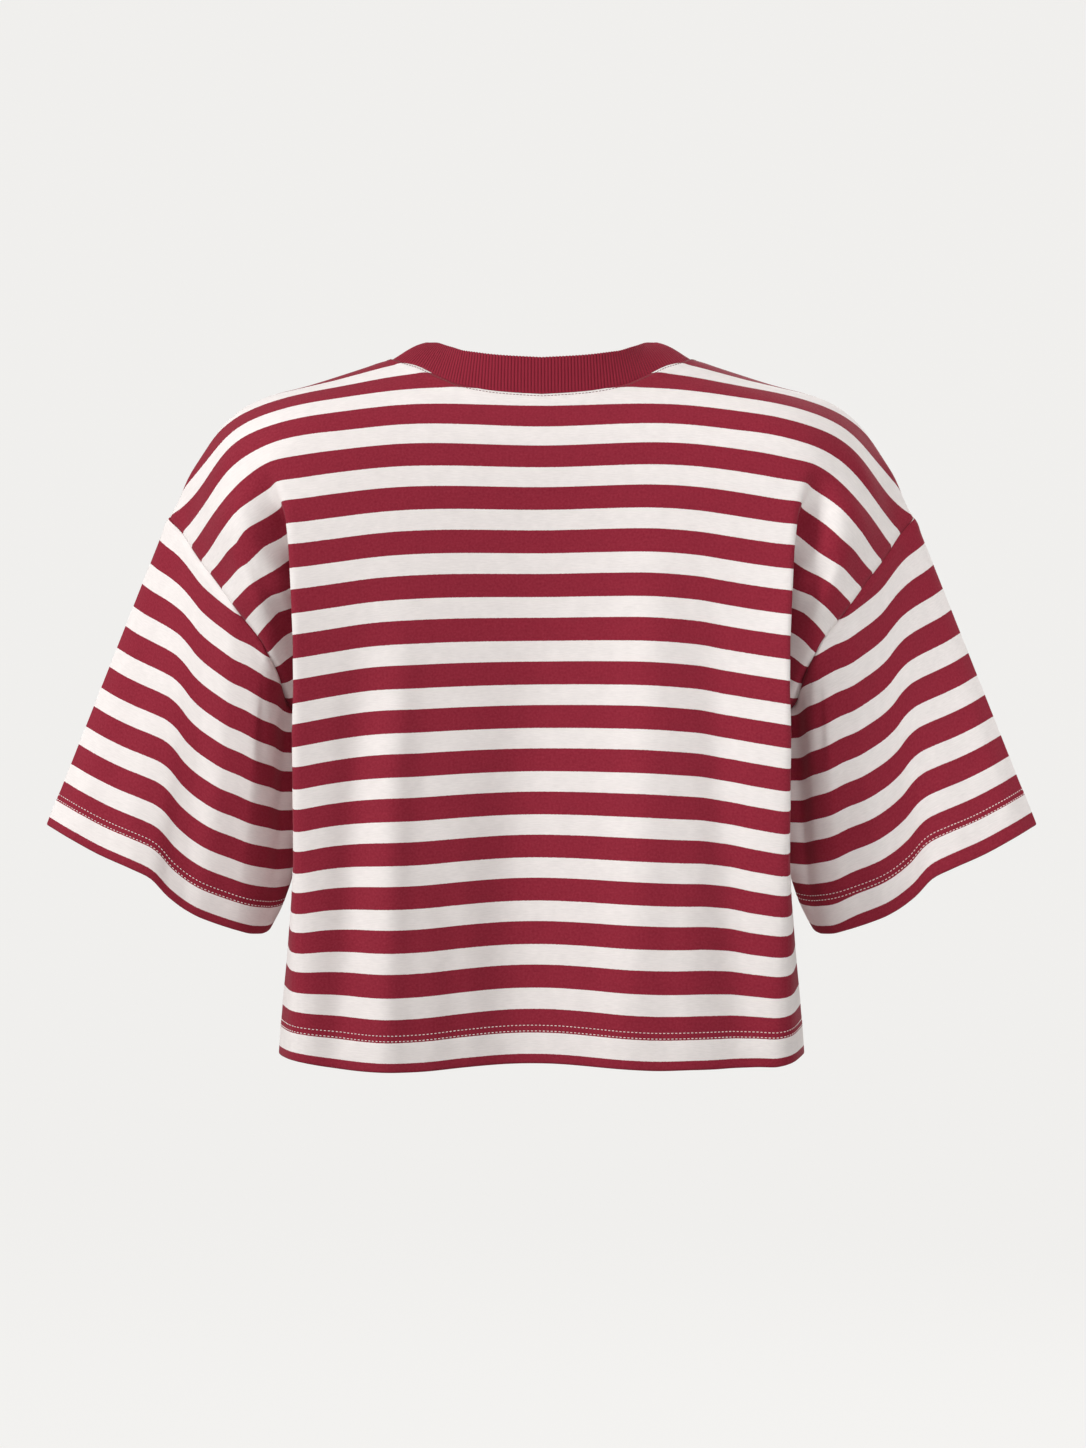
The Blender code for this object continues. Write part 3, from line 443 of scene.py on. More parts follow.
# How far the worn back panel hangs above (+) or below (-) its even form, by height
SETTLE_HEIGHTS = (0, 50, 90, 250, 400, 460)
SETTLE = (("along", "hem", "above hem", "low", "middle", "high", "top"),
          (-240, 0, 0, 0, 0, 0, 0), (-215, 0, 0, 0, 0, 0, 0), (-170, -0.5, 0, -1, -1, -0.6, 0),
          (-150, -0.9, 0.1, -0.2, -0.4, -0.2, 0), (-120, -1.2, -0.4, -0.5, 0.8, 0, 0),
          (-85, -1.1, 0.3, 0.1, -0.1, 0, 0), (-50, -0.4, 1, 0.9, -0.2, 0.1, 0),
          (0, -0.7, 0.4, 0.2, 0, 0.2, 0), (40, -1.4, 0.6, 0.7, 0.7, 0.6, 0),
          (75, -0.9, 1.5, 1.7, 1.3, 1, 0), (108, 0.6, 2.3, 2.1, 1.2, 0.8, 0),
          (130, 0.5, 1.2, 0.6, -0.7, 0.3, 0), (150, -0.9, -1.5, -2.7, -1.6, -0.5, 0),
          (168, -3.2, -3.5, -3.6, -1.7, -1.2, 0), (215, 0, 0, 0, 0, 0, 0), (240, 0, 0, 0, 0, 0, 0))

# Where the cloth has slid through the folds at the arms, and how far, up the stripes
SLIDES = (("along", "height", "reach across", "reach up", "slide"),
          (-207, 370, 17, 30, -4.2), (208, 372, 17, 30, -3.6), (245, 430, 45, 50, 0.4),
          (-225, 455, 25, 30, -2.0), (185, 435, 20, 25, 1.5), (-228, 385, 8, 16, -2.0),
          (-245, 390, 8, 20, 1.4), (239, 392, 12, 22, 1.8))


def settled(along, height):
    """Give how far each point of the back panel hangs above its even form."""
    levels = read_table(SETTLE, along.ravel())
    place = np.interp(height.ravel(), SETTLE_HEIGHTS, np.arange(len(SETTLE_HEIGHTS)))
    lower = np.minimum(place.astype(int), len(SETTLE_HEIGHTS) - 2)
    pick, part = np.arange(len(lower)), place - lower
    rise = (1 - part) * levels[pick, lower] + part * levels[pick, lower + 1]
    return rise.reshape(along.shape)


def hump(*shares):
    """Fall off softly from 1, by how far each share is from 0."""
    return np.exp(-sum(share ** 2 for share in shares))


def slid(along, height):
    """Add up how far the cloth has slid at each flat point."""
    return sum(slide * hump((along - at_along) / across, (height - at_height) / up)
               for at_along, at_height, across, up, slide in SLIDES[1:])


def knot(along, from_top):
    """Give the height of the small bump at the neck end of the shoulder seam."""
    return KNOT_RISE * hump((along - KNOT_ALONG) / KNOT_REACH, from_top / KNOT_REACH)


# %% Lay out the panels
panels = {}
for panel_name, guides, top_edge, ahead in (("back", BACK_GUIDES, BACK_TOP, -1),
                                            ("front", FRONT_GUIDES, FRONT_TOP, 1)):
    along, height = panel_grid(guides, top_edge)
    worn = worn_cloth(guides, along.ravel(), height.ravel()).reshape(along.shape + (3,))
    worn = worn * (1, ahead, 1)
    if panel_name == "front":
        worn = settle_on_seam(worn, height, back_half, along[-1])
    else:
        back_half = worn.copy()
        edge_height = height[:, -1]
    worn[:, :, 2] += knot(along, height[-1] - height)
    grid = both_halves(worn, (-1, 1, 1))
    along = both_halves(along[:, :, None], (-1,))[:, :, 0]
    height = both_halves(height[:, :, None], (1,))[:, :, 0]
    cut = height
    if panel_name == "back":
        grid[:, :, 2] += settled(along, height)
        cut = height + slid(along, height)
    panels[panel_name] = {"grid": grid, "along": along, "height": height, "cut": cut, "phase": 0.0,
                          "hem_shift": 0.0, "top": top_edge, "guides": guides}
    print(panel_name, "grid", panels[panel_name]["grid"].shape)

# %% [markdown]
# ## Sleeves
#
# A sleeve is a wide tube. Straight rulings run from the armhole to the hem, and a bow
# sways the ones under the arm. The cap's cut is longer at the shoulder, so "above the
# hem" is measured along each ruling, with a small slip that lets the stripes curve.

# %% Rule the sleeves
SLEEVE_EVEN, SLEEVE_TOP = 34.0, 158.0
RULING_SAMPLES = 101
SLEEVE_ROW_RUNS = ((HEM_FOLD, SLEEVE_EVEN, 22), (SLEEVE_EVEN, 150.0, 41),
                   (150.0, SLEEVE_TOP, 6))
SLEEVE_CUT = (("edge_height", "cap", "slip"),
              (235, 158, 0), (269, 176, 3), (299, 192, 5), (329, 206.8, 8), (343, 211.3, 9),
              (359, 217.8, 10), (372, 221.6, 11), (388, 226, 11.5), (402, 228.6, 9),
              (412, 229.5, 4), (421, 229.4, 4.5), (430, 229.5, 11), (440, 230, 20),
              (450, 231.2, 28), (458, 232, 30))
# Where each sleeve lies on the striped cloth, from under the arm to the shoulder: how
# close its stripes are and how far they sit from its hem
LAY_COLUMNS = ("edge_height", "pitch", "phase")
SLEEVE_LAY = {
    "sleeve_left": (LAY_COLUMNS, (235, 1, 0), (458, 1, 0)),
    "sleeve_right": (LAY_COLUMNS, (235, 0.923, 0.5), (310, 0.923, 0.5), (350, 0.944, -2.4),
                     (400, 0.95, -2.8), (440, 0.952, -3.6), (458, 0.952, -3.6)),
}
DEEPER_HEM = {"sleeve_left": 0.0, "sleeve_right": 4.5}


def sleeve_grid(back_edge, front_edge, side):
    """Rule a sleeve, ring by ring from its hem, and give each point its flat height."""
    first = int(np.searchsorted(edge_height, UNDERARM_HEIGHT - 0.5))
    down = np.arange(len(edge_height) - 1, first - 1, -1)
    up = np.arange(first + 1, len(edge_height) - 1)
    place = edge_height[np.concatenate([down, up])]
    loop = np.concatenate([back_edge[down], front_edge[up]])
    ruling = read_table(SLEEVE_RULINGS, place)
    cap, slip = read_table(SLEEVE_CUT, place).T
    ahead = np.concatenate([np.full(len(down), -1.0), np.full(len(up), FRONT_SLEEVE_DEPTH)])
    hem = np.stack([side * ruling[:, 0], ahead * ruling[:, 1], ruling[:, 2]], axis=1)
    rows = run_of_steps(SLEEVE_ROW_RUNS)
    share = np.linspace(0, 1, RULING_SAMPLES)
    fallen = [slip_here * share * (share - 1) - cap_here * (1 - share)
              for cap_here, slip_here in zip(cap, slip)]
    grid, flat = [], []
    for row in rows:
        climb = max(0.0, row - SLEEVE_EVEN) / (SLEEVE_TOP - SLEEVE_EVEN)
        height = np.broadcast_to(min(row, SLEEVE_EVEN) + climb * (cap - SLEEVE_EVEN), cap.shape)
        down_share = np.array([np.interp(-level, run, share)
                               for level, run in zip(height, fallen)])
        ring = (1 - down_share)[:, None] * loop + down_share[:, None] * hem
        ring[:, 0] += side * ruling[:, 3] * np.sin(math.pi * down_share ** 2)
        grid.append(ring)
        flat.append(height)
    return np.array(grid), np.array(flat), cap, place


sleeves = {}
for sleeve_name, side, column in (("sleeve_left", -1, 0), ("sleeve_right", 1, -1)):
    grid, height, cap, place = sleeve_grid(panels["back"]["grid"][:, column],
                                           panels["front"]["grid"][:, column], side)
    around = distance_run(joined_up(grid[len(grid) // 2]))
    pitch, phase = read_table(SLEEVE_LAY[sleeve_name], place).T
    sleeves[sleeve_name] = {"grid": grid, "height": height, "cap": cap, "around": around,
                            "cut": height * pitch + phase, "phase": phase,
                            "hem_shift": DEEPER_HEM[sleeve_name]}
    print(sleeve_name, "grid", grid.shape, "round its middle", round(around[-1]), "mm")

# %% [markdown]
# ## Which way is out
#
# Folds, seams and thickness are all moves along the cloth's normal. Pieces that are
# sewn together must lean the same way where they meet, or their edges would part.

# %% Normals
# Points in the same fiftieth of a millimetre meet
MEETING_CLOSENESS = 50


def grid_normals(grid, closed):
    """Sum the cell normals of a grid at each of its points."""
    if closed:
        grid = np.concatenate([grid, grid[:, :1]], axis=1)
    cross = np.cross(grid[1:, 1:] - grid[:-1, :-1], grid[1:, :-1] - grid[:-1, 1:])
    total = np.zeros_like(grid)
    for row in (0, 1):
        for column in (0, 1):
            total[row:row + cross.shape[0], column:column + cross.shape[1]] += cross
    if closed:
        total[:, 0] += total[:, -1]
        total = total[:, :-1]
    return total


def shared_normals(grids):
    """Find outward normals that agree wherever two pieces meet."""
    normals, meeting = {}, {}
    for name, grid in grids.items():
        tube = name.startswith("sleeve")
        cross = grid_normals(grid, tube)
        if tube:
            away = grid - grid.reshape(-1, 3).mean(axis=0)
        else:
            away = np.broadcast_to((0, 1 if name == "front" else -1, 0), grid.shape)
        normals[name] = unit(cross * np.sign((away * cross).sum()))
        rim = np.zeros(grid.shape[:2], dtype=bool)
        rim[-1] = True
        if not tube:
            rim[:, 0] = rim[:, -1] = True
        for row, column in np.argwhere(rim):
            key = tuple(np.round(grid[row, column] * MEETING_CLOSENESS).astype(int))
            meeting.setdefault(key, []).append((name, row, column))
    for places in meeting.values():
        if len(places) > 1:
            sums = {True: np.zeros(3), False: np.zeros(3)}
            for name, row, column in places:
                sums[name.startswith("sleeve")] += normals[name][row, column]
            midway = unit(unit(sums[True]) + unit(sums[False]))
            for name, row, column in places:
                normals[name][row, column] = midway
    return normals


grids = {name: piece["grid"] for name, piece in {**panels, **sleeves}.items()}
base_normals = shared_normals(grids)
print("normals for", ", ".join(base_normals))

# %% [markdown]
# ## Folds and seams as relief
#
# Heavy jersey falls in a few long, soft folds. Each one is a ridge or a trough placed
# on the flat pattern: where it starts and ends, how wide it is, how far it lifts the
# cloth and how far it bows. A seam pulls the cloth in, and the layers inside it puff
# up on both sides. Cloth simulation would fold it too, but nobody could say where.

# %% Place the folds
BACK_FOLDS = (
    ("along", "height", "to along", "to height", "width", "lift", "bow"),
    (-108, -40, -96, 300, 13, 5.0, 3), (-148, -30, -128, 290, 14, -5.4, -4),
    (-24, -50, -8, 280, 26, -5.2, 5), (54, -40, 78, 370, 20, 5.6, -4),
    (148, -30, 120, 310, 18, -6.2, 4), (-62, -20, -70, 150, 12, -1.8, -4),
    (30, 10, 26, 120, 10, 0.9, 3), (104, -10, 100, 140, 10, 0.9, 2),
    (-242, 398, -255, 318, 4.5, -2.6, 1), (-231, 400, -243, 336, 5.5, 1.7, 1),
    (241, 388, 252, 330, 5, -2.0, -1), (230, 394, 240, 340, 6, 1.2, -1),
)
FRONT_FOLDS = (
    ("along", "height", "to along", "to height", "width", "lift", "bow"),
    (-82, -30, -100, 290, 15, 4.4, 5), (-32, -40, -40, 220, 18, -3.9, -4),
    (18, -30, 6, 260, 16, 3.4, 5), (68, -40, 76, 200, 17, -4.0, -4),
    (114, -30, 98, 320, 14, 4.2, 4), (-142, -30, -150, 240, 13, -3.2, 2),
    (150, -30, 138, 210, 13, -3.4, 2), (-40, 300, -120, 420, 15, 1.6, 6),
    (44, 290, 118, 410, 16, 1.4, -6), (-10, 330, -4, 230, 20, -1.6, 3),
)

# Shares of a fold's half length: how long it takes to fade out, and how far past its end
FOLD_TAPER, FOLD_PAST = 0.85, 0.25


def fold_relief(folds, along, height, wrap=None):
    """Add up the soft ridges and troughs at each flat point, in millimetres."""
    total = np.zeros(along.shape)
    for from_along, from_height, to_along, to_height, width, lift, bow in folds[1:]:
        run = np.array((to_along - from_along, to_height - from_height), dtype=float)
        length = np.hypot(*run)
        run /= length
        apart = along - from_along
        if wrap:
            apart = (apart + wrap / 2) % wrap - wrap / 2
        place = (apart * run[0] + (height - from_height) * run[1]) / length
        inside = np.clip(place, 0, 1)
        off = apart * -run[1] + (height - from_height) * run[0] - 4 * bow * inside * (1 - inside)
        taper = eased((1 + FOLD_PAST - np.abs(2 * place - 1)) / FOLD_TAPER)
        total += lift * taper * hump(off / width)
    return total


# %% Pull in the seams
SEAM_DIP, SEAM_DIP_WIDTH = 0.8, 1.7
SEAM_PUFF, SEAM_PUFF_WIDTH, SEAM_PUFF_PLACE = 0.5, 3.5, 5.5
# Folds fade out this close to a seam
SEAM_CALM = 9.0
# The top edge slopes, so a point is nearer to it than straight up
TOP_SLANT = 0.9
HEM_STITCH_HEIGHTS = (21.8, 25.6)
HEM_PUFF, HEM_PUFF_PAST, HEM_PUFF_WIDTH = 0.35, 3, 1.8
STITCH_DIP, STITCH_DIP_WIDTH, STITCH_UNEVEN, STITCH_SWAY = 0.38, 0.9, 0.25, 0.9


def seam_relief(distance):
    """Shape the cloth beside a seam, by its distance from it."""
    puff = SEAM_PUFF * hump((distance - SEAM_PUFF_PLACE) / SEAM_PUFF_WIDTH)
    return -SEAM_DIP * hump(distance / SEAM_DIP_WIDTH) + puff


def below(height, level, width):
    """Give 1 well below a level and 0 well above it, with a soft change between."""
    return 0.5 - 0.5 * np.tanh((height - level) / width)


def hem_relief(height, place):
    """Shape a turned hem: two layers puff up, and each row of stitches bites in."""
    lift = HEM_PUFF * below(height, HEM_DEPTH + HEM_PUFF_PAST, HEM_PUFF_WIDTH)
    bite = STITCH_DIP * (1 + STITCH_UNEVEN * np.sin(place * STITCH_SWAY))
    return lift - sum(hump((height - row) / STITCH_DIP_WIDTH) * bite for row in HEM_STITCH_HEIGHTS)


for panel_name, folds in (("back", BACK_FOLDS), ("front", FRONT_FOLDS)):
    panel = panels[panel_name]
    along, height = panel["along"], panel["height"]
    edge = read_table(panel["guides"]["edge"], height.ravel())[:, 0].reshape(height.shape)
    top = top_height(panel["top"], np.abs(along).ravel()).reshape(height.shape)
    from_seam = np.minimum(edge - np.abs(along), (top - height) * TOP_SLANT)
    from_seam[-1] = from_seam[:, 0] = from_seam[:, -1] = 0
    relief = fold_relief(folds, along, height) * eased(from_seam / SEAM_CALM)
    relief = relief + seam_relief(from_seam) + hem_relief(height, along)
    panel["worn"] = panel["grid"] + base_normals[panel_name] * relief[:, :, None]
    print(panel_name, "relief from", round(relief.min(), 2), "to", round(relief.max(), 2), "mm")

# %% Fold the sleeves
SLEEVE_FOLDS = (
    ("around", "height", "to around", "to height", "width", "lift", "bow"),
    (60, 0, 52, 120, 11, 0.8, 3), (149, 205, 158, 120, 6, -2.0, 1),
    (112, -30, 126, 110, 13, 1.8, 2), (84, -20, 92, 90, 9, -1.0, -2),
    (250, -30, 262, 130, 14, 2.2, 3), (318, -20, 306, 120, 12, -1.8, -3),
)
for sleeve_name, sleeve in sleeves.items():
    grid, height = sleeve["grid"], sleeve["height"]
    around = np.broadcast_to(sleeve["around"][:-1], height.shape)
    from_seam = sleeve["cap"] - height
    from_seam[-1] = 0
    relief = fold_relief(SLEEVE_FOLDS, around, height, sleeve["around"][-1])
    relief = relief * eased(from_seam / SEAM_CALM)
    relief = relief + seam_relief(from_seam) + hem_relief(height - sleeve["hem_shift"], around)
    sleeve["worn"] = grid + base_normals[sleeve_name] * relief[:, :, None]

worn_grids = {name: piece["worn"] for name, piece in {**panels, **sleeves}.items()}
worn_normals = shared_normals(worn_grids)

# %% [markdown]
# ## The neckband's seam
#
# The band is a folded strip of rib knit. It stands on the neck edge of the two panels,
# leans inward most at the sides, and its foot line is their common edge.

# %% Trace the neck seam
BAND_COLUMNS_PER_RIB, RIB_PITCH = 8, 2.4
# How far round the band its turn, its lean and its free edge are evened out, in half ribs
TURN_EASE, LEAN_EASE, EDGE_EASE = 16, 18, 12
UPRIGHT = np.array((0.0, 0.0, 1.0))


def spread_round(points, values, count):
    """Read values given at the points of a closed line at count even places round it."""
    length = distance_run(joined_up(points))
    return read_line(np.arange(count) * length[-1] / count, length, joined_up(values))


def smooth_ring(vectors, reach):
    """Average vectors round a closed ring over reach places each way."""
    ring = np.concatenate([vectors[-reach:], vectors, vectors[:reach]])
    total = np.cumsum(np.vstack([np.zeros((1, 3)), ring]), axis=0)
    return (total[2 * reach + 1:] - total[:-2 * reach - 1]) / (2 * reach + 1)


def band_directions(foot):
    """Find where the neckband stands from each point of its seam, and its outward face."""
    fine = BAND_COLUMNS_PER_RIB // 2
    behind = (foot[:, 1] < foot[np.abs(foot[:, 0]).argmax(), 1])[:, None]
    out = np.abs(foot[:, 0])
    lean = np.where(behind, read_table(BAND_LEAN_BACK, out), read_table(BAND_LEAN_FRONT, out))
    tangent = np.roll(foot, -1, axis=0) - np.roll(foot, 1, axis=0)
    tangent = unit(smooth_ring(tangent, TURN_EASE * fine))
    inward = unit(np.cross(tangent, UPRIGHT))
    inward *= np.sign(((foot.mean(axis=0) - foot) * inward).sum(axis=1))[:, None]
    slant = inward * lean[:, :1] + UPRIGHT * lean[:, 1:]
    slant = unit(smooth_ring(slant, LEAN_EASE * fine)) * BAND_WIDTH
    slant = unit(smooth_ring(foot + slant, EDGE_EASE * fine) - foot) * BAND_WIDTH
    face = unit(np.cross(tangent, slant))
    face *= -np.sign((face * inward).sum(axis=1))[:, None]
    return slant, face


middle = worn_grids["back"].shape[1] // 2
neck_span = slice(middle - NECK_COLUMNS, middle + NECK_COLUMNS + 1)
back_neck = worn_grids["back"][-1, neck_span]
front_neck = worn_grids["front"][-1, neck_span]
neck_line = np.concatenate([back_neck, front_neck[-2:0:-1]])
band_count = RIB_COUNT * BAND_COLUMNS_PER_RIB
foot = spread_round(neck_line, neck_line, band_count)
slant, face = band_directions(foot)
length = distance_run(joined_up(neck_line))
nearest = np.round(length[:-1] / length[-1] * band_count).astype(int) % band_count
neck_lean = np.concatenate([worn_normals["back"][-1, neck_span],
                            worn_normals["front"][-1, neck_span][-2:0:-1]])
neck_lean = unit(neck_lean + face[nearest])
worn_normals["back"][-1, neck_span] = neck_lean[:2 * NECK_COLUMNS + 1]
worn_normals["front"][-1, neck_span] = np.concatenate(
    [neck_lean[:1], neck_lean[:2 * NECK_COLUMNS - 1:-1]])
print("neck seam", round(length[-1]), "mm, a rib each", round(length[-1] / RIB_COUNT, 2), "mm")

# %% [markdown]
# ## From grids to shells
#
# The shell's section runs down the outside, round the hem's fold, and up the inside.
# Turned cloth lies double inside the hem. Sewn edges are drawn back by half the seam
# gap. The flat pattern goes with the mesh as its UV map, in metres, so that one unit
# of the map is one unit of cloth.

# %% Part the seams
HEM_ARC = 5
SHARP_ANGLE = 55
# Inside a hem the cloth is this much thicker, and it thins out over this height
HEM_EXTRA, HEM_THINNING = 0.9, 0.7


def seam_steps(outer, inner, edge, beside, closed=False):
    """Find the small steps that part a wall from its neighbour along one seam."""
    line = (outer[edge] + inner[edge]) / 2
    if closed:
        tangent = np.roll(line, -1, axis=0) - np.roll(line, 1, axis=0)
    else:
        tangent = np.gradient(line, axis=0)
    step = unit(np.cross(unit(tangent), unit(outer[edge] - inner[edge])))
    own_side = (outer[beside] + inner[beside]) / 2 - line
    return step * np.sign((step * own_side).sum(axis=1))[:, None] * SEAM_GAP / 2


def part_seams(outer, inner, seams):
    """Draw every sewn edge of a wall back by half the seam gap."""
    steps = [(edge, seam_steps(outer, inner, edge, beside, closed))
             for edge, beside, closed in seams]
    outer, inner = outer.copy(), inner.copy()
    for edge, step in steps:
        outer[edge] += step
        inner[edge] += step
    return outer, inner


def panel_seams(shape):
    """List the seams of a panel: neck, shoulders, sides and armholes."""
    rows, columns = shape[:2]
    centre = columns // 2
    under = int(np.argmin(np.abs(run_of_steps(ROW_RUNS) - UNDERARM_HEIGHT)))
    spans = (slice(0, centre - NECK_COLUMNS + 1), slice(centre + NECK_COLUMNS, columns),
             slice(centre - NECK_COLUMNS, centre + NECK_COLUMNS + 1))
    seams = [((rows - 1, span), (rows - 2, span), False) for span in spans]
    for edge, beside in ((0, 1), (columns - 1, columns - 2)):
        for span in (slice(0, under + 1), slice(under, rows)):
            seams.append(((span, edge), (span, beside), False))
    return seams


# %% Skin a shell
def link_object(name, data):
    """Put a mesh, a light or a camera into the scene under its own name."""
    item = bpy.data.objects.new(name, data)
    bpy.context.scene.collection.objects.link(item)
    return item


def shell_object(name, sections, flats, closed):
    """Skin a ring of rows into a closed shell, with the flat pattern as its UV map."""
    rows, columns = sections.shape[:2]
    width = columns + closed
    corners = np.arange(rows * width).reshape(rows, width)
    vertex = (np.arange(rows)[:, None] * columns + np.arange(width) % columns).ravel()
    around = joined_up(corners)
    quads = [around[:-1, :-1], around[:-1, 1:], around[1:, 1:], around[1:, :-1]]
    faces = [np.stack(quads, axis=-1).reshape(-1, 4)]
    if not closed:
        outside = (rows - HEM_ARC) // 2
        for column, order in ((0, 1), (width - 1, -1)):
            down, up = corners[:outside, column], corners[:rows - outside - 1:-1, column]
            cap = np.stack([down[:-1], down[1:], up[1:], up[:-1]], axis=-1)
            faces.append(cap[:, ::order])
            faces.append(corners[outside - 1:rows - outside + 1, column][::order][None])
    lists = [face for group in faces for face in group.tolist()]
    points = sections.reshape(-1, 3) * MM
    triangles = vertex[faces[0][:, [0, 1, 2, 0, 2, 3]].reshape(-1, 3)]
    a, b, c = (points[triangles[:, k]] for k in range(3))
    if (a * np.cross(b, c)).sum() < 0:
        lists = [face[::-1] for face in lists]
    mesh = bpy.data.meshes.new(name)
    mesh.from_pydata(points.tolist(), [], [[int(vertex[k]) for k in face] for face in lists])
    layer = mesh.uv_layers.new(name="cloth")
    flat_rows = flats.reshape(-1, 2) * MM
    layer.data.foreach_set("uv", flat_rows[np.concatenate(lists)].ravel())
    mesh.shade_smooth()
    mesh.set_sharp_from_angle(angle=math.radians(SHARP_ANGLE))
    print(name, len(mesh.polygons), "faces")
    return link_object(name, mesh)


def garment_piece(name, piece, normal, along, seams, closed):
    """Build one cloth piece from its outer grid: wall, turned hem and hem's fold."""
    outer, height, cut = piece["worn"], piece["height"], piece["cut"]
    hem_depth = HEM_DEPTH + piece["hem_shift"]
    thickness = CLOTH_THICKNESS * (1 + HEM_EXTRA * below(height, hem_depth, HEM_THINNING))
    inner = outer - normal * thickness[:, :, None]
    outer, inner = part_seams(outer, inner, seams)
    centre, half = (outer[0] + inner[0]) / 2, (outer[0] - inner[0]) / 2
    down = unit(outer[0] - outer[1]) * HEM_FOLD
    arc, arc_height = [], []
    for step in range(1, HEM_ARC + 1):
        angle = math.pi * step / (HEM_ARC + 1)
        arc.append(centre + half * math.cos(angle) + down * math.sin(angle))
        arc_height.append(np.zeros(outer.shape[1]) + HEM_FOLD * math.cos(angle) + piece["phase"])
    turned = np.where(height < hem_depth, 2 * piece["phase"] - cut, cut)
    sections = np.concatenate([outer[::-1], np.array(arc), inner])
    heights = np.concatenate([cut[::-1], np.array(arc_height), turned])
    alongs = np.concatenate([along[::-1], np.repeat(along[:1], HEM_ARC, axis=0), along])
    if closed:
        heights = np.concatenate([heights, heights[:, :1]], axis=1)
    return outer, shell_object(name, sections, np.stack([alongs, heights], axis=-1), closed)


pieces, faces_out = {}, {}
for panel_name, panel in panels.items():
    faces_out[panel_name], pieces[panel_name] = garment_piece(
        panel_name + "_panel", panel, worn_normals[panel_name], panel["along"],
        panel_seams(panel["worn"].shape), False)
for sleeve_name, sleeve in sleeves.items():
    rows = len(sleeve["height"])
    around = np.broadcast_to(sleeve["around"], (rows, len(sleeve["around"])))
    faces_out[sleeve_name], pieces[sleeve_name] = garment_piece(
        sleeve_name + "_tube", sleeve, worn_normals[sleeve_name], around,
        [((rows - 1, slice(None)), (rows - 2, slice(None)), True)], True)

# %% [markdown]
# ## The ribbed neckband
#
# Rib knit stands up in fine upright ridges with narrow grooves between them. They are
# real relief here, on both faces, because the band is seen closely and its outline
# shows them. The strip is folded in two, so its free edge is a soft round fold.

# %% Stand the neckband on its seam
RIB_RELIEF, RIB_ROUNDNESS = 0.5, 0.7
BAND_RINGS, BAND_FOLD_STEPS = 19, 6
BAND_PLUMP, BAND_UPRIGHT_SHARE = 0.35, 0.97
# Which part of a rib's height lies level with plain cloth, outside and inside
LEVEL_OUTSIDE, LEVEL_INSIDE = 0.4, 0.6
# Above its seam the band takes on its ribs, and turns from the panels' lean to its own
RIBS_FULL_AT, LEAN_FULL_AT = 1.6, 4.0
# At the sides the band rolls inward towards its fold and swells above its middle
BAND_ROLL, BAND_SWELL, ROLL_FROM, ROLL_REACH = 2.4, 1.7, 70.0, 36.0


def rib_profile(count):
    """Shape round ridges with narrow grooves, from 0 in a groove to 1 on a ridge."""
    return np.abs(np.sin(np.arange(count) / BAND_COLUMNS_PER_RIB * math.pi)) ** RIB_ROUNDNESS


def band_sections():
    """Stack the rings of the band: up the outside, over the fold, down the inside."""
    lean = unit(spread_round(neck_line, neck_lean, band_count))
    grid = np.array([foot, foot + slant])
    start = foot + seam_steps(grid, grid - lean * CLOTH_THICKNESS, 0, 1, True)
    ribs = rib_profile(band_count)[:, None]
    rise = unit(slant)
    half = CLOTH_THICKNESS / 2
    side = eased((np.abs(foot[:, :1]) - ROLL_FROM) / ROLL_REACH)
    to_middle = unit((foot.mean(axis=0) - foot) * (1, 1, 0))
    outer, inner, heights = [], [], []
    for share in np.linspace(0, 1, BAND_RINGS):
        climb = share * (BAND_WIDTH * BAND_UPRIGHT_SHARE - half)
        swell = RIB_RELIEF * min(1.0, climb / RIBS_FULL_AT)
        swing = math.sin(math.pi * share)
        bulge = side * (BAND_SWELL * swing * (share - 0.3) - 0.5 * share ** 6)
        bulge = BAND_PLUMP * swing + bulge
        blend = min(1.0, climb / LEAN_FULL_AT)
        back = unit(lean * (1 - blend) + face * blend) * CLOTH_THICKNESS
        place = start + rise * climb + to_middle * side * BAND_ROLL * share ** 2
        outer.append(place + face * (bulge + (ribs - LEVEL_OUTSIDE) * swell))
        inner.append(place - back + face * (bulge - (ribs - LEVEL_INSIDE) * swell))
        heights.append(climb)
    centre, reach = (outer[-1] + inner[-1]) / 2, (outer[-1] - inner[-1]) / 2
    crown = rise * (half + RIB_RELIEF * (ribs - 0.5))
    fold = [centre + reach * math.cos(angle) + crown * math.sin(angle)
            for angle in np.linspace(0, math.pi, BAND_FOLD_STEPS + 2)[1:-1]]
    fold_heights = [heights[-1] + half] * BAND_FOLD_STEPS
    sections = np.array(outer + fold + inner[::-1])
    return sections, np.array(heights + fold_heights + heights[::-1])


sections, climbs = band_sections()
round_neck = np.append(np.arange(band_count), band_count) / BAND_COLUMNS_PER_RIB
flats = np.stack(np.broadcast_arrays(round_neck[None], climbs[:, None]), axis=-1)
pieces["neckband"] = shell_object("ribbed_neckband", sections, flats, True)

# %% [markdown]
# ## Stitches
#
# The hems are closed with a twin-needle machine: two rows of short, pale stitches run
# all round, a few millimetres apart, and a finer row holds down the neck seam. Each
# stitch is a short piece of thread that rises from the cloth and dives back in. There
# are well over a thousand, so each row set is one joined mesh.

# %% Lay rows of stitches
STITCH_PITCH, STITCH_LENGTH = 2.75, 1.8
STITCH_RINGS = (("along", "lift", "girth"),
                (0.0, -0.45, 0.5), (0.14, 0.02, 0.95), (0.5, 0.2, 1.0), (0.86, 0.02, 0.95),
                (1.0, -0.45, 0.5))
THREAD_SIDES, FIRST_STITCH = 6, 0.1


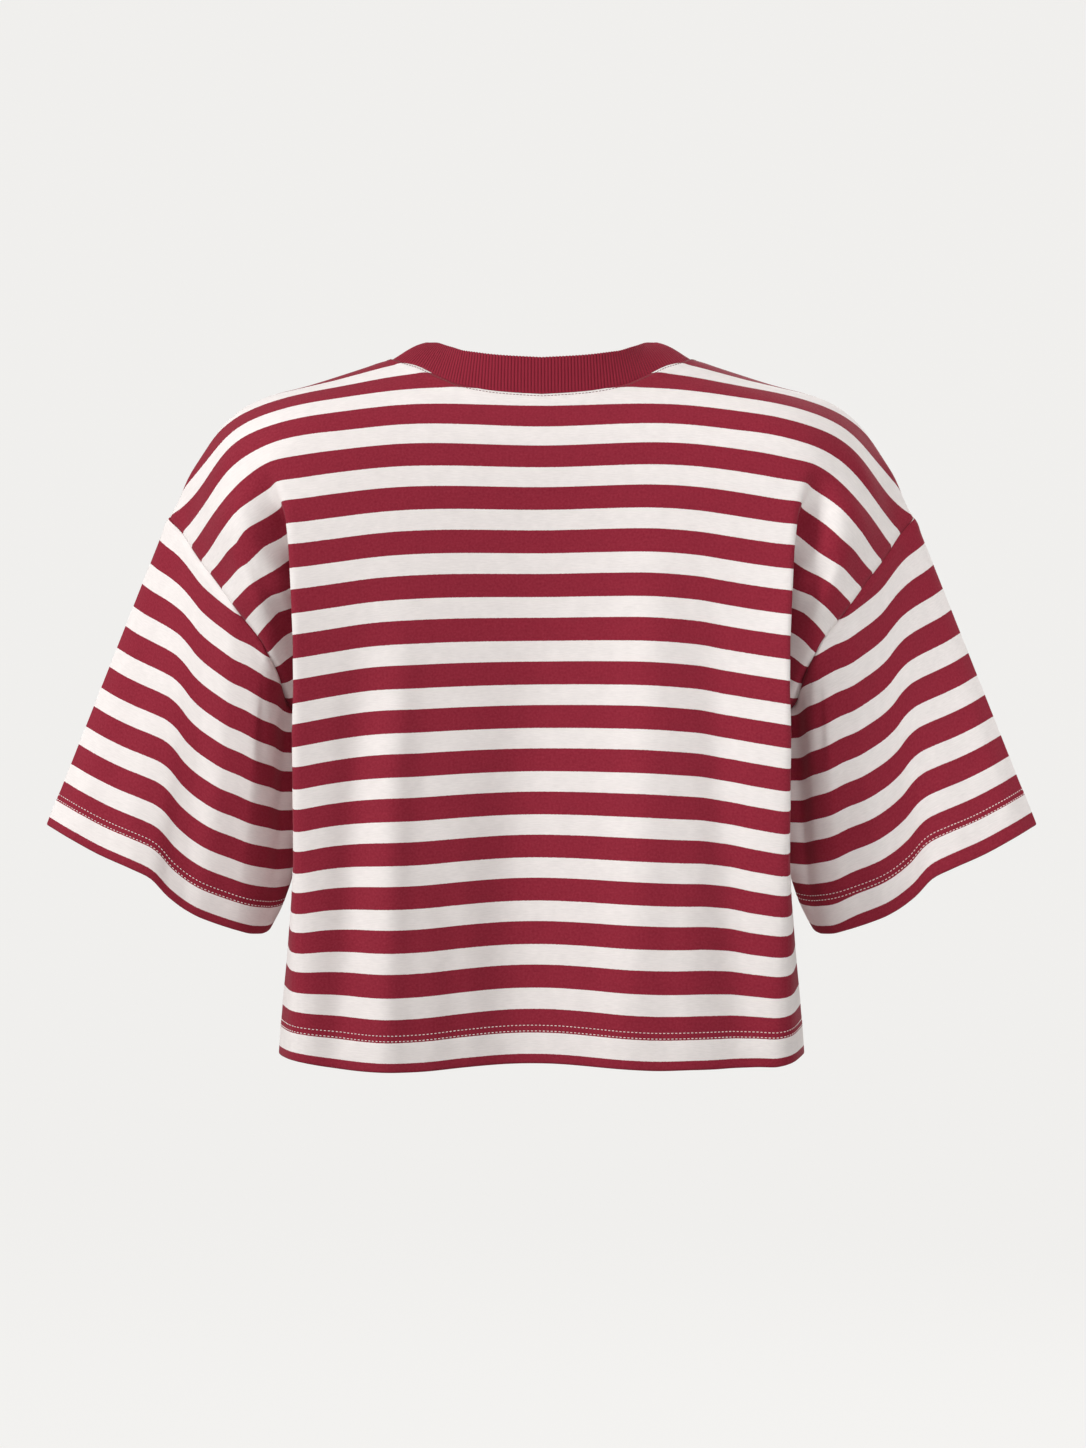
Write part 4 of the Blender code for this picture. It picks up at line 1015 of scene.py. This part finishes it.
def stitch_row(path, normal, closed, thread, pitch=STITCH_PITCH, length=STITCH_LENGTH):
    """Give the points of each stitch of a row, as (stitch, ring, side, xyz)."""
    if closed:
        path, normal = joined_up(path), joined_up(normal)
    run = distance_run(path)
    count = int(run[-1] // pitch)
    start = (np.arange(count) + FIRST_STITCH) * run[-1] / count
    shares, lift, girth = np.array(STITCH_RINGS[1:]).T
    place = start[:, None] + shares * length
    points, up = read_line(place, run, path), unit(read_line(place, run, normal))
    lift, girth = lift[None, :, None], girth[None, :, None, None] * thread
    ahead = unit(points[:, -1:] - points[:, :1])
    beside = unit(np.cross(ahead, up))
    angle = np.arange(THREAD_SIDES) * 2 * math.pi / THREAD_SIDES
    ring = (beside[:, :, None] * np.cos(angle)[None, None, :, None]
            + up[:, :, None] * np.sin(angle)[None, None, :, None])
    return (points + up * lift)[:, :, None] + ring * girth


def stitches_object(name, rows):
    """Join rows of stitches into one mesh."""
    tubes = np.concatenate(rows)
    count, rings, sides = tubes.shape[:3]
    first = np.arange(count)[:, None, None] * rings * sides
    ring, side = np.arange(rings - 1)[None, :, None], np.arange(sides)[None, None, :]
    near, far = first + ring * sides, first + (ring + 1) * sides
    after = (side + 1) % sides
    quads = np.stack([near + side, near + after, far + after, far + side], axis=-1).reshape(-1, 4)
    ends = [(first[:, 0] + side[0, :, ::-1]).tolist(),
            (first[:, 0] + (rings - 1) * sides + side[0]).tolist()]
    mesh = bpy.data.meshes.new(name)
    mesh.from_pydata((tubes.reshape(-1, 3) * MM).tolist(), [], quads.tolist() + ends[0] + ends[1])
    mesh.shade_smooth()
    print(name, count, "stitches")
    return link_object(name, mesh)


def level_line(grid, heights, level):
    """Read a grid at one height above the hem."""
    upper = int(np.searchsorted(heights, level))
    share = (level - heights[upper - 1]) / (heights[upper] - heights[upper - 1])
    return (1 - share) * grid[upper - 1] + share * grid[upper]


# The neck row is nearly unbroken and its thread is dark brown: a real topstitch, whose dark line
# also stands in for the shadow along the neck seam, painted shadow.
HEM_THREAD, NECK_THREAD = 0.27, 0.24
NECK_STITCH_DEPTH, NECK_STITCH_DRIFT, NECK_PITCH, NECK_LENGTH = 2.2, 1.8, 2.4, 2.15
stitching = {}
for name, piece in {**panels, **sleeves}.items():
    outer = faces_out[name]
    closed = name in sleeves
    heights = piece["height"][:, 0]
    levels = [level + piece["hem_shift"] for level in HEM_STITCH_HEIGHTS]
    rows = [stitch_row(level_line(outer, heights, level),
                       level_line(worn_normals[name], heights, level), closed, HEM_THREAD)
            for level in levels]
    stitching[name] = stitches_object(name + "_hem_stitches", rows)

for name in ("back", "front"):
    line, lean = [], []
    for column in range(middle - NECK_COLUMNS, middle + NECK_COLUMNS + 1):
        down = faces_out[name][::-1, column]
        aside = abs(panels[name]["along"][-1, column]) / SHOULDER_POINT
        depth = NECK_STITCH_DEPTH + NECK_STITCH_DRIFT * aside ** 2
        for found, rows in ((line, down), (lean, worn_normals[name][::-1, column])):
            found.append(read_line(depth, distance_run(down), rows))
    stitching[name + "_neck"] = stitches_object(
        name + "_neck_stitches",
        [stitch_row(np.array(line), np.array(lean), False, NECK_THREAD, NECK_PITCH, NECK_LENGTH)])

# %% [markdown]
# ## Finishes
#
# The jersey is knitted from two colours of cotton yarn, so a stripe has the same knit,
# the same slight fuzz and the same softness in both colours, and its edge steps along
# the loops. A printed stripe could be one flat mask. Node groups hold what both
# cloths share. They read the UV map, which is the flat pattern in metres.

# %% Node helpers
def put(tree, kind, *inputs, **settings):
    """Add a node, set its properties and fill its inputs with sockets or values."""
    node = tree.nodes.new(kind)
    for key, value in settings.items():
        setattr(node, key, value)
    for index, value in enumerate(inputs):
        if isinstance(value, bpy.types.NodeSocket):
            tree.links.new(value, node.inputs[index])
        elif value is not None:
            node.inputs[index].default_value = value
    return node


def calc(tree, operation, *inputs):
    """Add a Math node and give its result."""
    return put(tree, "ShaderNodeMath", *inputs, operation=operation).outputs[0]


def summed(tree, base, *parts):
    """Add to a base value each part, a pair of a value and its weight."""
    for value, weight in parts:
        base = calc(tree, "MULTIPLY_ADD", value, weight, base)
    return base


def point(tree, along, height):
    """Join two coordinates into a place."""
    return put(tree, "ShaderNodeCombineXYZ", along, height).outputs[0]


def noise(tree, place, scale, detail, roughness):
    """Add a noise texture and give its value."""
    return put(tree, "ShaderNodeTexNoise", place, None, scale, detail, roughness).outputs[0]


def mixed(tree, factor, first, second, blend="MIX"):
    """Mix two colours. A Mix node's colours are its seventh and eighth inputs."""
    skipped = [None] * 5
    return put(tree, "ShaderNodeMix", factor, *skipped, first, second,
               data_type="RGBA", blend_type=blend).outputs[2]


def group_tree(name, inputs, outputs):
    """Start a node group with named inputs (with their first values) and outputs."""
    tree = bpy.data.node_groups.new(name, "ShaderNodeTree")
    for label, value in inputs:
        socket = tree.interface.new_socket(label, in_out="INPUT", socket_type="NodeSocketFloat")
        socket.default_value = value
    for label in outputs:
        tree.interface.new_socket(label, in_out="OUTPUT", socket_type="NodeSocketFloat")
    return tree, tree.nodes.new("NodeGroupInput").outputs, tree.nodes.new("NodeGroupOutput").inputs


def use_group(tree, group, *inputs):
    """Place a node group in a material and give its outputs."""
    return put(tree, "ShaderNodeGroup", *inputs, node_tree=group).outputs


# %% Knitted loops, uneven yarn and stripes
def loops_group():
    """Height of plain knit: upright wales of slanted loops."""
    inputs = (("Along", 0.0), ("Height", 0.0), ("Wale", 0.95), ("Course", 0.75))
    tree, given, made = group_tree("knit_loops", inputs, ("Relief",))
    wale = calc(tree, "FRACT", calc(tree, "DIVIDE", given["Along"], given["Wale"]))
    lean = calc(tree, "ABSOLUTE", calc(tree, "SUBTRACT", wale, 0.5))
    course = calc(tree, "DIVIDE", given["Height"], given["Course"])
    slant = calc(tree, "MULTIPLY_ADD", lean, 1.1, course)
    yarn = calc(tree, "SINE", calc(tree, "MULTIPLY", slant, 2 * math.pi))
    groove = calc(tree, "SINE", calc(tree, "MULTIPLY", lean, 2 * math.pi))
    both = calc(tree, "MULTIPLY_ADD", yarn, 0.35, calc(tree, "MULTIPLY", groove, 0.65))
    tree.links.new(both, made["Relief"])
    return tree


def yarn_group():
    """Uneven yarn: a streak along the courses, a broad, faint mottle and short fuzz."""
    labels = ("Streak", "Mottle", "Fuzz")
    tree, given, made = group_tree("uneven_yarn", (("Along", 0.0), ("Height", 0.0)), labels)
    streaked = point(tree, calc(tree, "MULTIPLY", given["Along"], 0.16),
                     calc(tree, "MULTIPLY", given["Height"], 1.3))
    even = point(tree, given["Along"], given["Height"])
    kinds = (("Streak", streaked, 1.0, 0.6), ("Mottle", even, 0.09, 0.55),
             ("Fuzz", even, 0.62, 0.6))
    for label, place, scale, roughness in kinds:
        tree.links.new(noise(tree, place, scale, 3.0, roughness), made[label])
    return tree


def stripes_group():
    """Yarn-dyed stripes by height above the hem, with an edge that steps by loops."""
    inputs = (("Along", 0.0), ("Height", 0.0), ("Repeat", 30.0), ("Start", 20.7), ("Width", 15.9))
    tree, given, made = group_tree("yarn_stripes", inputs, ("Mask",))
    edge_place = point(tree, given["Along"], calc(tree, "MULTIPLY", given["Height"], 0.05))
    wander = calc(tree, "SUBTRACT", noise(tree, edge_place, 0.8, 2.0, 0.6), 0.5)
    height = calc(tree, "MULTIPLY_ADD", wander, 0.5, given["Height"])
    above = calc(tree, "SUBTRACT", height, given["Start"])
    phase = calc(tree, "FLOORED_MODULO", above, given["Repeat"])
    middle = calc(tree, "MULTIPLY", given["Width"], 0.5)
    off = calc(tree, "ABSOLUTE", calc(tree, "SUBTRACT", phase, middle))
    mask = put(tree, "ShaderNodeMapRange", calc(tree, "SUBTRACT", off, middle),
               0.15, -0.15, 0.0, 1.0, interpolation_type="SMOOTHSTEP").outputs[0]
    tree.links.new(mask, made["Mask"])
    return tree


loops, yarn, stripes = loops_group(), yarn_group(), stripes_group()
print("node groups:", loops.name, yarn.name, stripes.name)

# %% Jersey, rib knit and thread
CREAM = (0.815, 0.778, 0.765, 1.0)
BURGUNDY = (0.243, 0.0115, 0.0295, 1.0)
FUZZY_BURGUNDY = (0.33, 0.06, 0.085, 1.0)
BAND_BURGUNDY = (0.255, 0.0150, 0.0345, 1.0)
CREAM_THREAD = (0.88, 0.82, 0.80, 1.0)
# Dark brown neck thread: partly the thread's own colour, partly painted shadow along the neck
# seam.
DARK_THREAD_PAINTED_SHADOW = (0.17, 0.055, 0.055, 1.0)
KNIT_BUMP_DEPTH = 0.00012


def new_material(name, values):
    """Start a material with fixed values on its shader, and give its tree and shader too."""
    material = bpy.data.materials.new(name)
    material.use_nodes = True
    shader = material.node_tree.nodes["Principled BSDF"]
    for label, value in values.items():
        shader.inputs[label].default_value = value
    return material, material.node_tree, shader


def start_cloth(name, roughness, sheen):
    """Start a cloth material and give its tree, shader and flat place in millimetres."""
    material, tree, shader = new_material(name, {
        "Roughness": roughness, "Specular IOR Level": 0.16,
        "Sheen Weight": sheen, "Sheen Roughness": 0.45})
    uv = put(tree, "ShaderNodeUVMap", uv_map="cloth").outputs[0]
    flat = put(tree, "ShaderNodeSeparateXYZ", uv).outputs
    along, height = (calc(tree, "MULTIPLY", flat[axis], 1 / MM) for axis in (0, 1))
    return material, tree, shader, along, height


def scaled(color, factor):
    """Make a fixed colour darker or lighter."""
    return [min(1.0, part * factor) for part in color[:3]] + [1.0]


def tint(tree, shader, color, factor):
    """Colour the shader, darker or lighter by a factor that changes over the cloth."""
    grey = put(tree, "ShaderNodeCombineColor", factor, factor, factor).outputs[0]
    tree.links.new(mixed(tree, 1.0, color, grey, "MULTIPLY"), shader.inputs["Base Color"])


def raise_knit(tree, shader, relief, strength):
    """Let the finest relief of the knit catch the light."""
    bump = put(tree, "ShaderNodeBump")
    bump.inputs["Strength"].default_value = strength
    bump.inputs["Distance"].default_value = KNIT_BUMP_DEPTH
    tree.links.new(relief, bump.inputs["Height"])
    tree.links.new(bump.outputs[0], shader.inputs["Normal"])


def striped_jersey():
    """Make the striped jersey. The red yarn is dusted with paler fuzz, in clumps."""
    material, tree, shader, along, height = start_cloth("striped_jersey", 0.82, 0.07)
    mask = use_group(tree, stripes, along, height)["Mask"]
    uneven = use_group(tree, yarn, along, height)
    relief = use_group(tree, loops, along, height)["Relief"]
    dusting = put(tree, "ShaderNodeMapRange", uneven["Fuzz"], 0.3, 0.9, 0.0, 0.3).outputs[0]
    red = mixed(tree, dusting, BURGUNDY, FUZZY_BURGUNDY)
    clump = calc(tree, "MULTIPLY", calc(tree, "SUBTRACT", uneven["Fuzz"], 0.5), mask)
    # The knit's relief term below darkens the colour a little in the grooves of its loops: painted
    # shade. The streak, mottle and clump terms are the yarn's own uneven tone.
    shade = summed(tree, 0.81, (uneven["Streak"], 0.24), (uneven["Mottle"], 0.14),
                   (relief, 0.06), (clump, 0.4))
    tint(tree, shader, mixed(tree, mask, CREAM, red), shade)
    raise_knit(tree, shader, summed(tree, relief, (uneven["Streak"], 0.5)), 0.35)
    return material


def rib_knit():
    """Make the neckband's rib knit: its ridges are real relief, and its grooves are darkened with
    painted shade.
    """
    material, tree, shader, rib, height = start_cloth("burgundy_rib", 0.8, 0.08)
    wave = calc(tree, "SINE", calc(tree, "MULTIPLY", rib, math.pi))
    ridge = calc(tree, "POWER", calc(tree, "ABSOLUTE", wave), 0.6)
    along = calc(tree, "MULTIPLY", rib, RIB_PITCH)
    uneven = use_group(tree, yarn, along, height)
    relief = use_group(tree, loops, along, height, 0.8, 0.7)["Relief"]
    # The rib profile darkens the colour in the grooves between ribs, and the knit's relief darkens
    # it a little in its loops: painted shade. The streak is the yarn's own uneven tone.
    shade = summed(tree, 0.62, (ridge, 0.42), (uneven["Streak"], 0.12), (relief, 0.05))
    tint(tree, shader, mixed(tree, ridge, scaled(BAND_BURGUNDY, 0.8), BAND_BURGUNDY), shade)
    raise_knit(tree, shader, summed(tree, relief, (uneven["Streak"], 0.6)), 0.3)
    return material


def twisted_thread(name, color, sheen):
    """Make sewing thread: smooth, slightly glossy, with a fine twist."""
    material, tree, shader = new_material(name, {"Roughness": 0.55, "Sheen Weight": sheen})
    place = put(tree, "ShaderNodeTexCoord").outputs["Object"]
    twist = noise(tree, place, 1400.0, 2.0, 0.5)
    tint(tree, shader, mixed(tree, twist, color, scaled(color, 1.08)),
         summed(tree, 0.8, (twist, 0.35)))
    return material


jersey, rib = striped_jersey(), rib_knit()
hem_thread = twisted_thread("cream_thread", CREAM_THREAD, 0.2)
# The neck thread's dark brown is partly thread colour and partly painted shadow along the neck
# seam.
neck_thread_painted_shadow = twisted_thread("brown_thread", DARK_THREAD_PAINTED_SHADOW, 0.0)
for name, piece in pieces.items():
    piece.data.materials.append(rib if name == "neckband" else jersey)
for name, item in stitching.items():
    item.data.materials.append(neck_thread_painted_shadow if name.endswith("_neck") else hem_thread)
print("finishes:", ", ".join(material.name for material in bpy.data.materials))

# %% [markdown]
# ## Camera
#
# The shirt is seen level and square from behind, from three metres, with a long lens
# that keeps both sleeves the same size.

# %% Set the camera
CAMERA_PLACE = (0.001, -3.0, -0.262)
LENS, SENSOR_WIDTH = 104.54, 36.0
eye = bpy.data.cameras.new("camera")
eye.lens, eye.sensor_width = LENS, SENSOR_WIDTH
eye.clip_start, eye.clip_end = 0.05, 60.0
camera = link_object("camera", eye)
camera.location = CAMERA_PLACE
camera.rotation_euler = (math.radians(90), 0, 0)
bpy.context.scene.camera = camera
print("camera at", CAMERA_PLACE, "lens", LENS)

# %% [markdown]
# ## Studio
#
# A round, seamless cove stands well below and around the shirt, with a plain pale
# floor. It glows a little, as paper under even light does, so it has one tone from
# everywhere. One large lamp from the upper left shapes the folds. Weaker ones fill in
# from the camera's side, from above and from beyond, and a soft spot lifts one sleeve.

# %% Build the cove
COVE_FLOOR, COVE_RADIUS, COVE_BEND, COVE_HEIGHT = -1.15, 7.5, 2.5, 7.0
COVE_SIDES, BEND_STEPS, COVE_PEAK = 96, 12, 0.5
PAPER = {"Base Color": (0.06, 0.06, 0.059, 1.0), "Roughness": 0.95, "Specular IOR Level": 0.0}
PAPER_TONE = (0.871, 0.863, 0.847, 1.0)
WARM_TONE = (0.89, 0.845, 0.82, 1.0)
AMBIENT_GLOW, SEEN_GLOW = 0.43, 0.97


def build_cove():
    """Turn a floor, a wide bend and a wall round the upright axis."""
    flat = COVE_RADIUS - COVE_BEND
    profile = [(0.0, COVE_FLOOR), (flat, COVE_FLOOR)]
    for step in range(1, BEND_STEPS + 1):
        angle = math.pi / 2 * step / BEND_STEPS
        profile.append((flat + COVE_BEND * math.sin(angle),
                        COVE_FLOOR + COVE_BEND * (1 - math.cos(angle))))
    profile += [(COVE_RADIUS, COVE_HEIGHT), (0.0, COVE_HEIGHT + COVE_PEAK)]
    turns = [2 * math.pi * k / COVE_SIDES for k in range(COVE_SIDES)]
    points = [(radius * math.cos(turn), radius * math.sin(turn), rise)
              for radius, rise in profile for turn in turns]
    quads = [(low + after, low + k, low + COVE_SIDES + k, low + COVE_SIDES + after)
             for low in range(0, (len(profile) - 1) * COVE_SIDES, COVE_SIDES)
             for k, after in zip(range(COVE_SIDES), [*range(1, COVE_SIDES), 0])]
    mesh = bpy.data.meshes.new("cove")
    mesh.from_pydata(points, [], quads)
    mesh.validate()
    mesh.shade_smooth()
    return link_object("cove", mesh)


cove = build_cove()
paper, paper_tree, paper_shader = new_material("pale_paper", PAPER)
seen = put(paper_tree, "ShaderNodeLightPath").outputs["Is Camera Ray"]
tone = mixed(paper_tree, seen, WARM_TONE, PAPER_TONE)
glow = put(paper_tree, "ShaderNodeMapRange", seen, 0.0, 1.0, AMBIENT_GLOW, SEEN_GLOW).outputs[0]
paper_tree.links.new(tone, paper_shader.inputs["Emission Color"])
paper_tree.links.new(glow, paper_shader.inputs["Emission Strength"])
cove.data.materials.append(paper)
print("cove", 2 * COVE_RADIUS, "m wide, its floor at", COVE_FLOOR)

# %% Light the shirt
LAMPS = (("lamp", "place", "size", "power", "color"),
         ("key", (-2.4, -1.75, 1.1), 1.1, 71.0, (1.0, 0.99, 0.98)),
         ("front", (0.5, -3.1, 0.3), 2.0, 8.0, (1.0, 1.0, 1.0)),
         ("top", (0.3, -0.4, 2.3), 1.8, 8.0, (1.0, 1.0, 1.0)),
         ("rear", (1.4, 2.5, 1.2), 1.6, 48.0, (1.0, 0.985, 0.965)))
LAMP_TARGET = (0.0, 0.0, -0.25)
SPOT_PLACE, SPOT_TARGET, SPOT_POWER = (1.6, -2.3, 0.3), (0.355, -0.03, -0.2), 210.0
SPOT_ANGLE, SPOT_SOFTNESS = 14, 0.3


def hang_lamp(light, place, target):
    """Put a lamp at a place and aim it."""
    lamp = link_object(light.name, light)
    lamp.location = place
    aim = np.array(target) - place
    lamp.rotation_euler = (math.acos(-aim[2] / np.linalg.norm(aim)), 0,
                           math.atan2(aim[1], aim[0]) - math.pi / 2)


for lamp_name, place, size, power, color in LAMPS[1:]:
    light = bpy.data.lights.new(lamp_name, "AREA")
    light.shape, light.size, light.energy, light.color = "DISK", size, power, color
    hang_lamp(light, place, LAMP_TARGET)
spot = bpy.data.lights.new("sleeve_spot", "SPOT")
spot.energy, spot.shadow_soft_size, spot.spot_blend = SPOT_POWER, SPOT_SOFTNESS, 1.0
spot.spot_size = math.radians(SPOT_ANGLE)
hang_lamp(spot, SPOT_PLACE, SPOT_TARGET)
bpy.context.scene.view_settings.view_transform = "Standard"
print("lamps:", ", ".join(row[0] for row in LAMPS[1:]))

# %% [markdown]
# ## Tie the pieces to the frame
#
# Every piece rides on the one body and stands for its node. A sheet's flat size is
# what a maker cuts: the panels' blocks with their shoulder slopes and neck curve, and
# the sleeves and band opened out.

# %% Hide each solid and tie each cloth to the body
# The share is how much of the block is left once its slopes and curves are cut
SHEETS = (("piece", "flat width", "flat length", "share of area", "stitches on it"),
          ("back", 0.617, 0.524, 0.83, ("back", "back_neck")),
          ("front", 0.617, 0.541, 0.75, ("front", "front_neck")),
          ("sleeve_left", 0.45, 0.233, 0.75, ("sleeve_left",)),
          ("sleeve_right", 0.45, 0.233, 0.75, ("sleeve_right",)),
          ("neckband", 0.66, 0.0262, 1.0, ()))
for name, width, length, share, extras in SHEETS[1:]:
    item = pieces[name]
    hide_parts(name)
    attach(item, "root")
    for extra in extras:
        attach(stitching[extra], "root")
